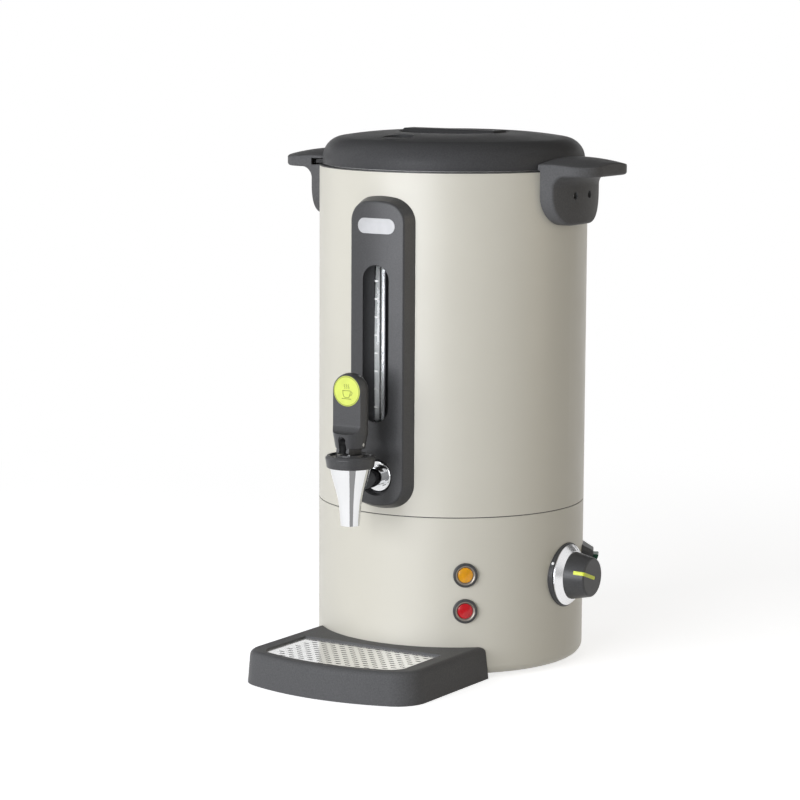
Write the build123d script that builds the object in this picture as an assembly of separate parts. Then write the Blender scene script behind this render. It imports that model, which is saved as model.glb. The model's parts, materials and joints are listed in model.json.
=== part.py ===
from build123d import *
import os
from math import cos, hypot, radians, sin, sqrt

# Hot water urn of about ten litres: a double-walled body with a lever tap, a glass level gauge,
# a bayonet lid and a drip tray that lifts away. Millimetres, +Z up, the front is towards -Y.
# The origin is on the axis of the body, on the surface that the urn stands on.
# An azimuth is counted from the front towards +X, in degrees.

# ---- driving dimensions: body ----
BODY_R = 113.0            # outside of both shells
SHELL_T = 1.0             # painted sheet of both shells
FLOOR_GAP = 3.0           # lower shell above the surface
BASE_EDGE_R = 8.0         # rounding of the lower shell's bottom edge
BASE_FLANGE_W = 21.0      # width of the lower shell's turned-in flange
SEAM_Z = 135.0            # middle of the seam between the shells
SEAM_GAP = 0.8
SEAM_DEPTH = 0.6          # how far the dark seam lies behind the paint
RIM_Z = 417.2             # top of the tank's rolled rim
TANK_GAP = 5.2            # between the shells and the tank
TANK_T = 0.8
TANK_FLOOR_RISE = 7.0     # underside of the tank above the seam
TANK_CORNER_R = 8.0
RING_T = 3.2              # joint ring between the shells
RING_H = 20.0

# ---- clearances ----
SEAT = 0.1                # between pieces that are fastened together
RUN = 0.3                 # between pieces that move past each other
SHAFT_RUN = 0.08          # radial clearance of a shaft in its bearing

# ---- driving dimensions: base and electrics ----
BASE_PLATE_T = 1.2
BASE_PLATE_GAP = 8.5      # between the bottom plate and the shell
FOOT_R = 11.0
FOOT_INSET = 35.0         # foot axes inside the shell's outside
FOOT_AZS = (45, 135, 225, 315)
BASE_SCREW_INSET = 15.0
BASE_SCREW_AZS = (20, 110, 200, 290)
BASE_SCREW_R = 2.0
VENT_COUNT = 12
VENT_W = 4.0
VENT_INNER_R = 26.0
VENT_OUTER_R = 52.0
HEAT_PLATE_R = 78.0
HEAT_PLATE_T = 5.0
ELEMENT_R = 4.0           # tube of the heating element
ELEMENT_RING_R = 58.0
ELEMENT_SWEEP = 325.0
ELEMENT_ELBOW_R = 10.0
ELEMENT_LEG = 14.0
STUD_R = 2.5
STUD_CIRCLE_R = 69.0
STUD_AZS = (60, 180, 300)
NUT_H = 3.4
CUTOUT_R = 11.0
CUTOUT_H = 9.0
GLAND_AZ = 180.0
GLAND_Z = 30.0
GLAND_R = 6.2             # threaded barrel of the cable gland
GLAND_BORE_R = 4.0
TERMINAL_SIZE = (38.0, 16.0, 15.0)
TERMINAL_AT = (-40.0, 50.0)

# ---- driving dimensions: lamps, knob and switch ----
LAMP_AZ = 36.8
LAMP_ZS = (87.5, 57.5)    # heating lamp above, power lamp below
LAMP_BEZEL_R = 10.1
LAMP_BARREL_R = 7.8
LAMP_LENS_R = 6.2
LAMP_BEVEL = 2.0          # width of the bevel round the lens
LAMP_LENS_SINK = 1.4      # edge of the lens behind the bezel's face
LAMP_LENS_RISE = 1.0
LAMP_PROUD = 2.6
LAMP_DEPTH = 26.0
KNOB_AZ = 90.0
KNOB_Z = 78.0
KNOB_BEZEL_R = 27.0
KNOB_BEZEL_PROUD = 1.2    # bezel's face in front of the shell
KNOB_DIAL_R = 25.5
KNOB_DIAL_RISE = 6.0
KNOB_CAP_R = 19.9
KNOB_CAP_FACE_R = 16.3
KNOB_CAP_H = 17.2
KNOB_POINTER_W = 3.0
KNOB_POINTER_ANGLE = 19.0  # of the pointer above the horizontal, at rest
KNOB_POINTER_FOOT = 8.0   # from the cap's back to the pointer
KNOB_POINTER_PAST = 2.5   # how far the pointer runs past the middle of the face
THERMO_SHAFT_R = 3.0
THERMO_SIZE = (34.0, 24.0, 30.0)
BRACKET_INSET = 8.8       # thermostat's bracket behind the inside of the shell
BRACKET_T = 1.4
BRACKET_H = 54.0
SWITCH_AZ = 117.0
SWITCH_Z = 77.0
POD_BASE = (30.0, 40.0)   # width and height of the switch pod at the shell
POD_FACE = (24.0, 27.0)
POD_PROUD = 9.0
ROCKER_SIZE = (14.0, 20.0)
ROCKER_PROUD = 5.0
ROCKER_AXIS_IN = 4.0      # rocker axis behind the pod's face
ROCKER_SWING_GAP = 1.9    # room at the rocker's two ends for its swing

# ---- driving dimensions: gauge panel ----
PANEL_LOW_GAP = 3.6       # panel above the seam
PANEL_HIGH_GAP = 18.2     # panel below the rim
PANEL_HALF_W = 29.8
PANEL_END_R = 60.0        # bow of the panel's two ends
PANEL_CORNER_R = 22.0
PANEL_PROUD = 10.3        # face of the panel in front of the shell
PANEL_SKIN = 1.8
PANEL_TAPER = 20.0
PANEL_EDGE_R = 2.2
CHANNEL_ROOM = 8.0        # between the tube and the wall of its round channel
CHANNEL_RISE = 45.0       # channel's lower end above the tap's shank
CHANNEL_DROP = 57.5       # channel's upper end below the panel's top
CHANNEL_PROUD = 9.5       # axis of the channel in front of the shell
TUBE_R = 4.5
TUBE_T = 1.1
TUBE_PROUD = 3.0          # axis of the tube in front of the shell
TUBE_SOCKET = 11.0        # how far the tube enters each fitting
FITTING_WALL = 0.8
SPIGOT_R = 4.0
SPIGOT_DROP = 6.0         # spigot axis beyond the end of the tube
SLOT_ROOM = 4.5           # between the tube and the side of the jacket's slot
SEAL_T = 0.8
BADGE_L = 35.0
BADGE_H = 12.4
BADGE_T = 0.8
BADGE_DROP = 25.7         # badge below the panel's top
PANEL_SCREW_XS = (20.6, 18.5)
PANEL_SCREW_LOW = 47.4    # lower screws above the panel's bottom
PANEL_SCREW_HIGH = 35.0   # upper screws below the panel's top
PANEL_BOSS_R = 3.4

# ---- driving dimensions: tap ----
TAP_REACH = 47.0          # spout axis in front of the shell
SHANK_RISE = 25.5         # shank above the tank's floor
SHANK_R = 8.0
SHANK_IN = 14.0           # how far the shank reaches into the tank
SHANK_BORE_R = 5.0
ESCUTCHEON_R = 13.2
TAP_RECESS_R = 15.6
TAP_RECESS_PROUD = 2.0    # floor of the panel's recess in front of the shell
SPOUT_DROP = 34.5         # tip of the spout below the shank's axis
SPOUT_TIP_R = 7.8
OUTLET_R = 6.0
CHAMBER_R = 9.6
VALVE_SEAT_DROP = 7.5     # valve seat below the shank's axis
TAP_SHOULDER_RISE = 12.9  # the next heights are above the shank's axis
TAP_SHOULDER_R = 16.6
NECK_R = 14.6
NECK_H = 4.0
BONNET_R = 20.4
BONNET_TOP_RISE = 23.2
BONNET_PAD_RISE = 23.7    # flat pad that the lever's cam rolls on
BONNET_CEILING_RISE = 19.9
STEM_R = 3.0
SPRING_R = 7.6
SPRING_WIRE_R = 0.7
SPRING_TURNS = 4.0
PIN_RISE = 32.5
PIN_R = 1.5
LEVER_R = 14.3
LEVER_FOOT_R = 12.0
LEVER_BOTTOM_RISE = 28.9
LEVER_RIM_RISE = 41.7
LEVER_FACE_OUT = 5.75     # flat face of the paddle in front of the tap's axis
LEVER_FACE_LOW_RISE = 47.9
LEVER_DOME_RISE = 75.7
LEVER_SLOT_W = 6.8
LEVER_SLOT_TOP_RISE = 39.5
LEVER_TILT = 32.0         # full tilt of the lever
VALVE_LIFT = 3.2          # full lift of the seat cup
CAM_OUTER_X = 6.0
LEVER_BADGE_R = 12.4
LEVER_BADGE_T = 1.2

# ---- driving dimensions: handles ----
GRIP_REACH = 38.5         # grip in front of the shell
HANDLE_HALF_W = 40.5
HANDLE_CORNER_R = 22.0
GRIP_UNDER_DROP = 4.2     # underside of the grip below the rim
GRIP_RISE = 10.8          # highest point of the grip above the rim
GRIP_CROWN_R = 165.0      # ball that shapes the grip's top
GRIP_EDGE_R = 1.6
HANDLE_EDGE_R = 2.5
PLATE_OUT = 11.0          # handle plate in front of the shell
PLATE_DROP = 45.0         # lower end of the plate below the rim
PLATE_CORNER_R = 25.0
PLATE_COVE_R = 9.5        # hollow between the plate and the grip
HANDLE_SCREW_X = 12.0     # screws beside the middle of the handle
HANDLE_SCREW_DROP = 20.7  # screws below the rim
HANDLE_SCREW_R = 2.0
HANDLE_RECESS_R = 3.1
HANDLE_RECESS_DEPTH = 5.0
BAYONET_OUT = 11.0        # outer wall of the bayonet slot in front of the shell
BAYONET_ROOM = 3.0        # free height of the slot under the lug

# ---- driving dimensions: lid ----
LID_INSET = 2.5           # lid's side behind the shell's outside
LID_GAP = 0.8             # lid's lower edge above the rim
LID_BAND_H = 4.9          # height of the upright band below the shoulder
LID_SHOULDER_R = 18.3
LID_DOME_LEAN = 9.5       # slope of the dome where it meets the shoulder, in degrees
LID_RISE = 28.2           # rim of the finger well above the tank's rim
LID_WALL = 2.2
WELL_R = 46.0
WELL_DEPTH = 14.0
LID_GRIP_W = 22.0
LID_GRIP_PROUD = 1.8      # grip above the rim of the finger well
LUG_OUT = 5.6
LUG_T = 2.4
LUG_HALF_ANGLE = 5.0
LUG_REST_TURN = 27.0      # from locked to the rest place, where the lid lifts
LINER_GAP = 1.8           # between the lid's liner and the tank
LINER_DROP = 9.0          # how deep the liner reaches into the tank
LINER_T = 1.5
GASKET_W = 3.3
GASKET_H = 1.7
VENT_AT = (-8.0, -76.0)
VENT_R = 13.0
VENT_SINK = 2.9           # top of the vent insert below the rim of the finger well
VENT_RIM_T = 2.0
LID_SCREW_X = 30.0

# ---- driving dimensions: drip tray ----
TRAY_HALF_W = 83.0        # at the foot of the skirt
TRAY_REACH = 101.5        # foot of the bowed front, in front of the shell
TRAY_BOW_R = 190.0
TRAY_CORNER_R = 27.0
TRAY_DRAFT = 4.5          # lean of the skirt, in degrees
TRAY_H = 27.0
TRAY_WALL = 2.5
TRAY_EDGE_R = 5.0
TRAY_FLOOR_Z = 1.0        # underside of the basin
TRAY_BACK_GAP = 0.5
GRID_SIDE_RIM = 17.0      # from the foot of the tray's side to the grid
GRID_BACK_GAP = 13.0      # between the shell and the grid
GRID_FRONT_RIM = 12.0     # from the foot of the tray's front to the grid
GRID_CORNER_R = 15.0
GRID_T = 1.2
GRID_SINK = 1.6           # grid below the tray's deck
GRID_SLOT = (5.0, 1.8)
GRID_PITCH = (9.0, 6.0)
GRID_MARGIN = 5.0
GRID_LEDGE = 3.5

# ---- values worked out from the driving dimensions ----
SHELL_IN = BODY_R - SHELL_T
TANK_OUT = SHELL_IN - TANK_GAP
TANK_R = TANK_OUT - TANK_T
TANK_FLOOR_Z = SEAM_Z + TANK_FLOOR_RISE
BASE_TOP_Z = SEAM_Z - SEAM_GAP / 2
JACKET_LOW_Z = SEAM_Z + SEAM_GAP / 2
JACKET_TOP_Z = RIM_Z - TANK_T - SEAT
BASE_FLANGE_R = BODY_R - BASE_FLANGE_W
BASE_PLATE_R = SHELL_IN - BASE_PLATE_GAP
FOOT_CIRCLE_R = BODY_R - FOOT_INSET
BASE_SCREW_CIRCLE_R = BODY_R - BASE_SCREW_INSET
PLATE_Z = FLOOR_GAP + SHELL_T
HEAT_PLATE_Z = TANK_FLOOR_Z - SEAT - HEAT_PLATE_T
ELEMENT_Z = HEAT_PLATE_Z - SEAT - ELEMENT_R
SHANK_Z = TANK_FLOOR_Z + SHANK_RISE
SHANK_END = TANK_R - SHANK_IN
TAP_OUT = BODY_R + TAP_REACH
TAP_RECESS_FLOOR = BODY_R + TAP_RECESS_PROUD
SPOUT_TIP_Z = SHANK_Z - SPOUT_DROP
VALVE_SEAT_Z = SHANK_Z - VALVE_SEAT_DROP
TAP_SHOULDER_Z = SHANK_Z + TAP_SHOULDER_RISE
BONNET_TOP_Z = SHANK_Z + BONNET_TOP_RISE
BONNET_PAD_Z = SHANK_Z + BONNET_PAD_RISE
BONNET_CEILING_Z = SHANK_Z + BONNET_CEILING_RISE
PIN_Z = SHANK_Z + PIN_RISE
LEVER_BOTTOM_Z = SHANK_Z + LEVER_BOTTOM_RISE
LEVER_RIM_Z = SHANK_Z + LEVER_RIM_RISE
LEVER_FACE_LOW_Z = SHANK_Z + LEVER_FACE_LOW_RISE
LEVER_DOME_Z = SHANK_Z + LEVER_DOME_RISE
LEVER_SLOT_TOP_Z = SHANK_Z + LEVER_SLOT_TOP_RISE
PANEL_R = BODY_R + PANEL_PROUD
PANEL_BOTTOM = SEAM_Z + PANEL_LOW_GAP
PANEL_TOP = RIM_Z - PANEL_HIGH_GAP
PANEL_SCREWS = ((PANEL_SCREW_XS[0], PANEL_BOTTOM + PANEL_SCREW_LOW),
                (PANEL_SCREW_XS[1], PANEL_TOP - PANEL_SCREW_HIGH))
BADGE_Z = PANEL_TOP - BADGE_DROP
CHANNEL_R = TUBE_R + CHANNEL_ROOM
CHANNEL_LOW = SHANK_Z + CHANNEL_RISE
CHANNEL_HIGH = PANEL_TOP - CHANNEL_DROP
CHANNEL_OUT = BODY_R + CHANNEL_PROUD
TUBE_OUT = BODY_R + TUBE_PROUD
TUBE_LOW = CHANNEL_LOW - TUBE_SOCKET
TUBE_HIGH = CHANNEL_HIGH + TUBE_SOCKET
SLOT_HALF_W = TUBE_R + SLOT_ROOM
TANK_SEAL_OUT = TANK_OUT + SEAT
CAM_LEAD = VALVE_LIFT / radians(LEVER_TILT)   # lift for each radian of tilt
CAM_DROP = PIN_Z - BONNET_PAD_Z - RUN         # pin above the cam's flat at rest
KNOB_BEZEL_FACE = BODY_R + KNOB_BEZEL_PROUD
KNOB_DIAL_BACK = KNOB_BEZEL_FACE + RUN
KNOB_CAP_BACK = KNOB_DIAL_BACK + KNOB_DIAL_RISE + SEAT
KNOB_CAP_FACE = KNOB_CAP_BACK + KNOB_CAP_H
BRACKET_D = SHELL_IN - BRACKET_INSET
POD_FACE_OUT = BODY_R + POD_PROUD
HANDLE_REACH = BODY_R + GRIP_REACH
GRIP_BOTTOM_Z = RIM_Z - GRIP_UNDER_DROP
GRIP_TOP_Z = RIM_Z + GRIP_RISE
PLATE_FACE_R = BODY_R + PLATE_OUT
PLATE_BOTTOM_Z = RIM_Z - PLATE_DROP
HANDLE_SCREW_Z = RIM_Z - HANDLE_SCREW_DROP
HANDLE_SCREW_SEAT = PLATE_FACE_R - HANDLE_RECESS_DEPTH
LID_R = BODY_R - LID_INSET
LID_BOTTOM_Z = RIM_Z + LID_GAP
LID_BAND_TOP_Z = LID_BOTTOM_Z + LID_BAND_H
LID_TOP_Z = RIM_Z + LID_RISE
LID_GRIP_TOP_Z = LID_TOP_Z + LID_GRIP_PROUD
VENT_Z = LID_TOP_Z - VENT_SINK
LINER_R = TANK_R - LINER_GAP
GASKET_INNER_R = LINER_R + RUN + SEAT
GASKET_OUTER_R = GASKET_INNER_R + GASKET_W
LUG_Z = LID_BOTTOM_Z
SLOT_Z = LUG_Z - BAYONET_ROOM
SLOT_TOP_Z = LUG_Z + LUG_T + RUN
TRAY_FRONT = BODY_R + TRAY_REACH
TRAY_BACK = 0.62 * BODY_R                     # where the tray's sides end, inside the body's outline
GRID_HALF_W = TRAY_HALF_W - GRID_SIDE_RIM
GRID_FRONT = TRAY_FRONT - GRID_FRONT_RIM
GRID_BACK = BODY_R + GRID_BACK_GAP
GRID_Z = TRAY_H - GRID_SINK - GRID_T


# ---- helpers ----
def outline(points, corners=None):
    """Closed face through the points; corners gives the rounding radius of a point by its number."""
    face = make_face(Polyline(*points, close=True))
    for number, radius in (corners or {}).items():
        corner = face.vertices().sort_by_distance((*points[number], 0))[0]
        face = fillet(corner, radius)
    return face


def turned(points, corners=None):
    """Solid turned about the body's axis from an outline in (radius, height)."""
    return revolve(Plane.XZ * outline(points, corners), Axis.Z)


def turned_forward(points, corners=None):
    """Solid turned about the line to the front, from an outline in (radius, distance from the body's axis)."""
    return Rot(90, 0, 0) * turned(points, corners)


def rod(radius, start, stop, x=0.0, z=0.0):
    """Bar pointing to the front, between two distances from the body's axis."""
    return Pos(x, -(start + stop) / 2, z) * Rot(90, 0, 0) * Cylinder(radius, stop - start)


def post(radius, low, high, x=0.0, y=0.0):
    """Upright bar between two heights."""
    return Pos(x, y, (low + high) / 2) * Cylinder(radius, high - low)


def pipe(outer, inner, low, high):
    """Upright tube about the body's axis."""
    return post(outer, low, high) - post(inner, low - 1, high + 1)


def block(x, y, z):
    """Box between pairs of limits."""
    middle = [(a + b) / 2 for a, b in (x, y, z)]
    return Pos(*middle) * Box(x[1] - x[0], y[1] - y[0], z[1] - z[0])


def turn_to(azimuth, shape):
    """Turn a shape made at the front to another azimuth."""
    return Rot(0, 0, azimuth) * shape


def around(azimuths, shape):
    """Equal copies of a shape made at the front, one at each azimuth."""
    return [turn_to(azimuth, shape) for azimuth in azimuths]


def hex_nut(across_flats, bore, height):
    """Nut that stands on the origin."""
    nut = extrude(RegularPolygon(across_flats / 2, 6, major_radius=False), height)
    return nut - post(bore, -1, height + 1)


def forward(shape, distance, x=0.0, z=0.0):
    """Lay a shape that stands on the origin so that it points to the front from a distance."""
    return Pos(x, -distance, z) * Rot(90, 0, 0) * shape


def save(name, *solids):
    """Write one node; several solids stay separate in it."""
    parts = []
    for solid in solids:
        parts += solid.solids() if hasattr(solid, "solids") else [solid]
    export_step(parts[0] if len(parts) == 1 else Compound(children=parts), f"parts/{name}.step")


# ---- body shells and tank ----
def base_housing():
    """Lower shell with a rounded bottom edge, a turned-in flange and the holes for the controls."""
    shell = turned(
        [(BASE_FLANGE_R, FLOOR_GAP), (BODY_R, FLOOR_GAP), (BODY_R, BASE_TOP_Z),
         (SHELL_IN, BASE_TOP_Z), (SHELL_IN, PLATE_Z), (BASE_FLANGE_R, PLATE_Z)],
        {1: BASE_EDGE_R, 4: BASE_EDGE_R - SHELL_T},
    )
    near, far = SHELL_IN - 8, BODY_R + 2
    for z in LAMP_ZS:
        shell -= turn_to(LAMP_AZ, rod(LAMP_BARREL_R + SEAT, near, far, z=z))
    shell -= turn_to(KNOB_AZ, rod(THERMO_SHAFT_R + 2, near, far, z=KNOB_Z))
    shell -= turn_to(SWITCH_AZ, switch_neck(SEAT))
    shell -= turn_to(GLAND_AZ, rod(GLAND_R + SEAT, near, far, z=GLAND_Z))
    for hole in around(BASE_SCREW_AZS, post(BASE_SCREW_R + SEAT, 0, 9, y=-BASE_SCREW_CIRCLE_R)):
        shell -= hole
    return shell


def joint_ring():
    """Stepped ring inside the seam: its lip closes the gap and shows as the dark line."""
    outer = SHELL_IN - SEAT
    lip = BODY_R - SEAM_DEPTH
    low, high = BASE_TOP_Z + SEAT, JACKET_LOW_Z - SEAT
    return turned([(outer - RING_T, SEAM_Z - RING_H / 2), (outer, SEAM_Z - RING_H / 2), (outer, low),
                   (lip, low), (lip, high), (outer, high), (outer, SEAM_Z + RING_H / 2),
                   (outer - RING_T, SEAM_Z + RING_H / 2)])


def outer_jacket():
    """Upper shell with the slot behind the gauge and the holes of the tap, panel and handles."""
    jacket = pipe(BODY_R, SHELL_IN, JACKET_LOW_Z, JACKET_TOP_Z)
    slot_length = TUBE_HIGH - TUBE_LOW + 2 * (SPIGOT_DROP + SLOT_HALF_W + 2)
    slot = SlotOverall(slot_length, 2 * SLOT_HALF_W, rotation=90)
    middle = (TUBE_LOW + TUBE_HIGH) / 2
    jacket -= extrude(Plane((0, -BODY_R - 5, middle), x_dir=(1, 0, 0), z_dir=(0, 1, 0)) * slot, 15)
    near, far = SHELL_IN - 8, BODY_R + 2
    jacket -= rod(SHANK_R + 3.2, near, far, z=SHANK_Z)
    for x, z in PANEL_SCREWS:
        for side in (-1, 1):
            jacket -= rod(1.7, near, far, side * x, z)
    for azimuth in (90, 270):
        for x in (-HANDLE_SCREW_X, HANDLE_SCREW_X):
            jacket -= turn_to(azimuth, rod(HANDLE_SCREW_R + 0.2, near, far, x, HANDLE_SCREW_Z))
    return jacket


def inner_tank():
    """Deep-drawn tank with a rounded floor corner and a rim rolled out over the jacket."""
    rim_low = RIM_Z - TANK_T
    tank = turned(
        [(0, TANK_FLOOR_Z), (TANK_OUT, TANK_FLOOR_Z), (TANK_OUT, rim_low), (BODY_R, rim_low),
         (BODY_R, RIM_Z), (TANK_R, RIM_Z), (TANK_R, TANK_FLOOR_Z + TANK_T), (0, TANK_FLOOR_Z + TANK_T)],
        {1: TANK_CORNER_R + TANK_T, 6: TANK_CORNER_R, 5: 0.9, 2: 0.2},
    )
    tank -= rod(SHANK_R + 0.2, TANK_R - 5, TANK_OUT + 3, z=SHANK_Z)
    for z in (TUBE_LOW - SPIGOT_DROP, TUBE_HIGH + SPIGOT_DROP):
        tank -= rod(SPIGOT_R + SEAT, TANK_R - 5, TANK_OUT + 3, z=z)
    return tank


# ---- base, heater and electrics ----
def base_plate():
    """Bottom plate on the shell's flange, with a ring of vent slots."""
    plate = post(BASE_PLATE_R, PLATE_Z, PLATE_Z + BASE_PLATE_T)
    slot = block((-VENT_W / 2, VENT_W / 2), (-VENT_OUTER_R, -VENT_INNER_R), (0, 10))
    for vent in around([360 / VENT_COUNT * i + 15 for i in range(VENT_COUNT)], slot):
        plate -= vent
    for hole in around(STUD_AZS, post(STUD_R + 0.2, 0, 10, y=-STUD_CIRCLE_R)):
        plate -= hole
    for hole in around(BASE_SCREW_AZS, post(BASE_SCREW_R + SEAT, 0, 10, y=-BASE_SCREW_CIRCLE_R)):
        plate -= hole
    return plate


def rubber_foot():
    """Foot on the bottom plate, seen from the front."""
    foot = Pos(0, 0, PLATE_Z / 2) * Cone(FOOT_R - 0.8, FOOT_R, PLATE_Z)
    foot = fillet(foot.edges().group_by(Axis.Z)[0], 0.8)
    return Pos(0, -FOOT_CIRCLE_R, 0) * foot


def base_screw():
    """Pan-head screw up through the flange and the bottom plate."""
    head = fillet(post(3.6, FLOOR_GAP - 2, FLOOR_GAP).edges().group_by(Axis.Z)[0], 0.9)
    return Pos(0, -BASE_SCREW_CIRCLE_R, 0) * (head + post(BASE_SCREW_R, FLOOR_GAP, PLATE_Z + 5))


def heat_plate():
    """Aluminium plate that spreads the element's heat over the tank's floor."""
    plate = post(HEAT_PLATE_R, HEAT_PLATE_Z, HEAT_PLATE_Z + HEAT_PLATE_T)
    return chamfer(plate.edges().group_by(Axis.Z)[0], 1)


def heating_element():
    """Bent tubular heater: an open ring whose two ends turn down as legs."""
    half = radians(ELEMENT_SWEEP / 2)
    points = []
    for side in (-1, 1):
        end = Vector(side * ELEMENT_RING_R * sin(half), -ELEMENT_RING_R * cos(half), ELEMENT_Z)
        along = Vector(side * cos(half), sin(half), 0)
        bend = ELEMENT_ELBOW_R
        middle = end + along * bend * sin(radians(45)) - Vector(0, 0, bend * (1 - cos(radians(45))))
        low = end + along * bend - Vector(0, 0, bend)
        points.append((end, middle, low, low - Vector(0, 0, ELEMENT_LEG)))
    (a_end, a_mid, a_low, a_tip), (b_end, b_mid, b_low, b_tip) = points
    front = Vector(0, -ELEMENT_RING_R, ELEMENT_Z)
    path = Wire([Line(a_tip, a_low).edge(), ThreePointArc(a_low, a_mid, a_end).edge(),
                 ThreePointArc(a_end, front, b_end).edge(), ThreePointArc(b_end, b_mid, b_low).edge(),
                 Line(b_low, b_tip).edge()])
    return sweep(Plane(a_tip, z_dir=(0, 0, 1)) * Circle(ELEMENT_R), path)


def dry_boil_cutout():
    """Snap disc thermostat on the plate, with two flat terminals."""
    top = HEAT_PLATE_Z - SEAT
    body = post(CUTOUT_R, top - CUTOUT_H, top) + post(CUTOUT_R + 2, top - 1.2, top)
    for x in (-5, 5):
        body += block((x - 3, x + 3), (-0.4, 0.4), (top - CUTOUT_H - 8, top - CUTOUT_H))
    return body


def tank_stud():
    """Tie stud from the heat plate down through the bottom plate."""
    return post(STUD_R, 0.8, HEAT_PLATE_Z - SEAT, y=-STUD_CIRCLE_R)


def stud_nut():
    """Nut that draws the stud against the bottom plate."""
    return Pos(0, -STUD_CIRCLE_R, PLATE_Z - NUT_H - 0.02) * hex_nut(8, STUD_R + 0.02, NUT_H)


def terminal_block():
    """Three-way terminal block on the bottom plate."""
    length, width, height = TERMINAL_SIZE
    low = PLATE_Z + BASE_PLATE_T
    body = block((-length / 2, length / 2), (-width / 2, width / 2), (low, low + height * 0.6))
    pitch = length / 3.4
    for i in (-1, 0, 1):
        x = i * pitch
        tower = block((x - 4.2, x + 4.2), (-width / 2 + 2, width / 2 - 2), (low, low + height))
        body += tower
        body -= post(2.2, low + height * 0.45, low + height + 1, x)
        body -= Pos(x, 0, low + height * 0.3) * Rot(90, 0, 0) * Cylinder(1.8, width + 2)
    return Pos(*TERMINAL_AT, 0) * Rot(0, 0, 40) * body


def cable_gland():
    """Hollow gland through the rear of the lower shell."""
    seat = BODY_R + SEAT
    flange = forward(extrude(RegularPolygon(9.5, 6, major_radius=False), 5), seat, z=GLAND_Z)
    barrel = rod(GLAND_R, SHELL_IN - 11, seat + 1, z=GLAND_Z)
    dome = forward(Pos(0, 0, 9) * Cone(8.2, 5.6, 8), seat, z=GLAND_Z)
    bore = rod(GLAND_BORE_R, SHELL_IN - 12, seat + 20, z=GLAND_Z)
    return turn_to(GLAND_AZ, flange + barrel + dome - bore)


def gland_nut():
    """Lock nut of the gland on the inside of the shell."""
    start = sqrt(SHELL_IN**2 - 9.5**2) - 3.6
    return turn_to(GLAND_AZ, forward(hex_nut(17, GLAND_R + 0.02, 3.4), start, z=GLAND_Z))


# ---- lamps ----
def lamp_bezel(z):
    """Lamp holder: a round flange on the shell and a barrel with the lens pocket."""
    flange = rod(LAMP_BEZEL_R, BODY_R - 2, BODY_R + LAMP_PROUD, z=z)
    flange = fillet(flange.edges().group_by(Axis.Y)[0], 1.1)
    flange -= post(BODY_R + SEAT, z - 20, z + 20)
    barrel = rod(LAMP_BARREL_R, BODY_R - LAMP_DEPTH, BODY_R + 0.5, z=z)
    pocket_r = LAMP_LENS_R + SEAT / 2
    pocket = rod(pocket_r, BODY_R - 4, BODY_R + 9, z=z)
    face = BODY_R + LAMP_PROUD
    bevel = Pos(0, 0, z) * turned_forward([(0, face - LAMP_BEVEL), (pocket_r, face - LAMP_BEVEL),
                                           (pocket_r + LAMP_BEVEL + 1, face + 1), (0, face + 1)])
    return turn_to(LAMP_AZ, flange + barrel - pocket - bevel)


def lamp_lens(z):
    """Domed lens in the pocket of its holder."""
    edge = BODY_R + LAMP_PROUD - LAMP_LENS_SINK
    stem = rod(LAMP_LENS_R, BODY_R - 3.9, edge, z=z)
    ball = (LAMP_LENS_R**2 + LAMP_LENS_RISE**2) / (2 * LAMP_LENS_RISE)
    dome = Pos(0, -(edge + LAMP_LENS_RISE - ball), z) * Sphere(ball)
    cap = dome & rod(LAMP_LENS_R, edge - 0.01, edge + 5, z=z)
    return turn_to(LAMP_AZ, stem + cap)


def lamp_nut(z):
    """Plastic nut that holds a lamp from the inside."""
    across = 2 * LAMP_BARREL_R + 6
    corner = across / 2 / cos(radians(30))
    start = sqrt(SHELL_IN**2 - corner**2) - 4
    return turn_to(LAMP_AZ, forward(hex_nut(across, LAMP_BARREL_R + 0.02, 3.9), start, z=z))


# ---- thermostat and knob ----
def thermostat_bracket():
    """Flat bracket across the inside of the shell that carries the thermostat."""
    half = sqrt((SHELL_IN - SEAT)**2 - (BRACKET_D + BRACKET_T)**2)
    plate = block((-half, half), (-BRACKET_D - BRACKET_T, -BRACKET_D),
                  (KNOB_Z - BRACKET_H / 2, KNOB_Z + BRACKET_H / 2))
    plate -= rod(THERMO_SHAFT_R + 2, BRACKET_D - 2, BRACKET_D + 4, z=KNOB_Z)
    for x in (-14, 14):
        plate -= rod(1.7, BRACKET_D - 2, BRACKET_D + 4, x, KNOB_Z)
    return turn_to(KNOB_AZ, plate)


def thermostat_body():
    """Control thermostat behind the bracket, bored for its shaft and screws."""
    width, depth, height = THERMO_SIZE
    front = BRACKET_D - SEAT / 2
    body = block((-width / 2, width / 2), (-front, -front + depth), (KNOB_Z - height / 2, KNOB_Z + height / 2))
    body = fillet(body.edges().filter_by(Axis.Y), 3)
    for x in (-11, -4, 4, 11):
        body += block((x - 0.4, x + 0.4), (-front + depth, -front + depth + 8), (KNOB_Z - 3, KNOB_Z + 3))
    body -= rod(THERMO_SHAFT_R + SHAFT_RUN, front - depth * 0.7, front + 1, z=KNOB_Z)
    for x in (-14, 14):
        body -= rod(1.55, front - 8, front + 1, x, KNOB_Z)
    return turn_to(KNOB_AZ, body)


def thermostat_screws():
    """Two screws that hold the thermostat on its bracket."""
    front = BRACKET_D + BRACKET_T
    screws = []
    for x in (-14, 14):
        head = rod(2.8, front, front + 1.8, x, KNOB_Z)
        screws.append(turn_to(KNOB_AZ, head + rod(1.5, front - BRACKET_T - 6, front, x, KNOB_Z)))
    return screws


def thermostat_shaft():
    """Turning shaft with a flat for the knob."""
    inner = BRACKET_D - THERMO_SIZE[1] * 0.7 + RUN
    outer = KNOB_CAP_FACE - 5
    shaft = rod(THERMO_SHAFT_R, inner, outer, z=KNOB_Z)
    shaft -= block((-5, 5), (-outer - 1, -outer + 9), (KNOB_Z + THERMO_SHAFT_R - 1.3, KNOB_Z + 5))
    return turn_to(KNOB_AZ, shaft)


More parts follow.
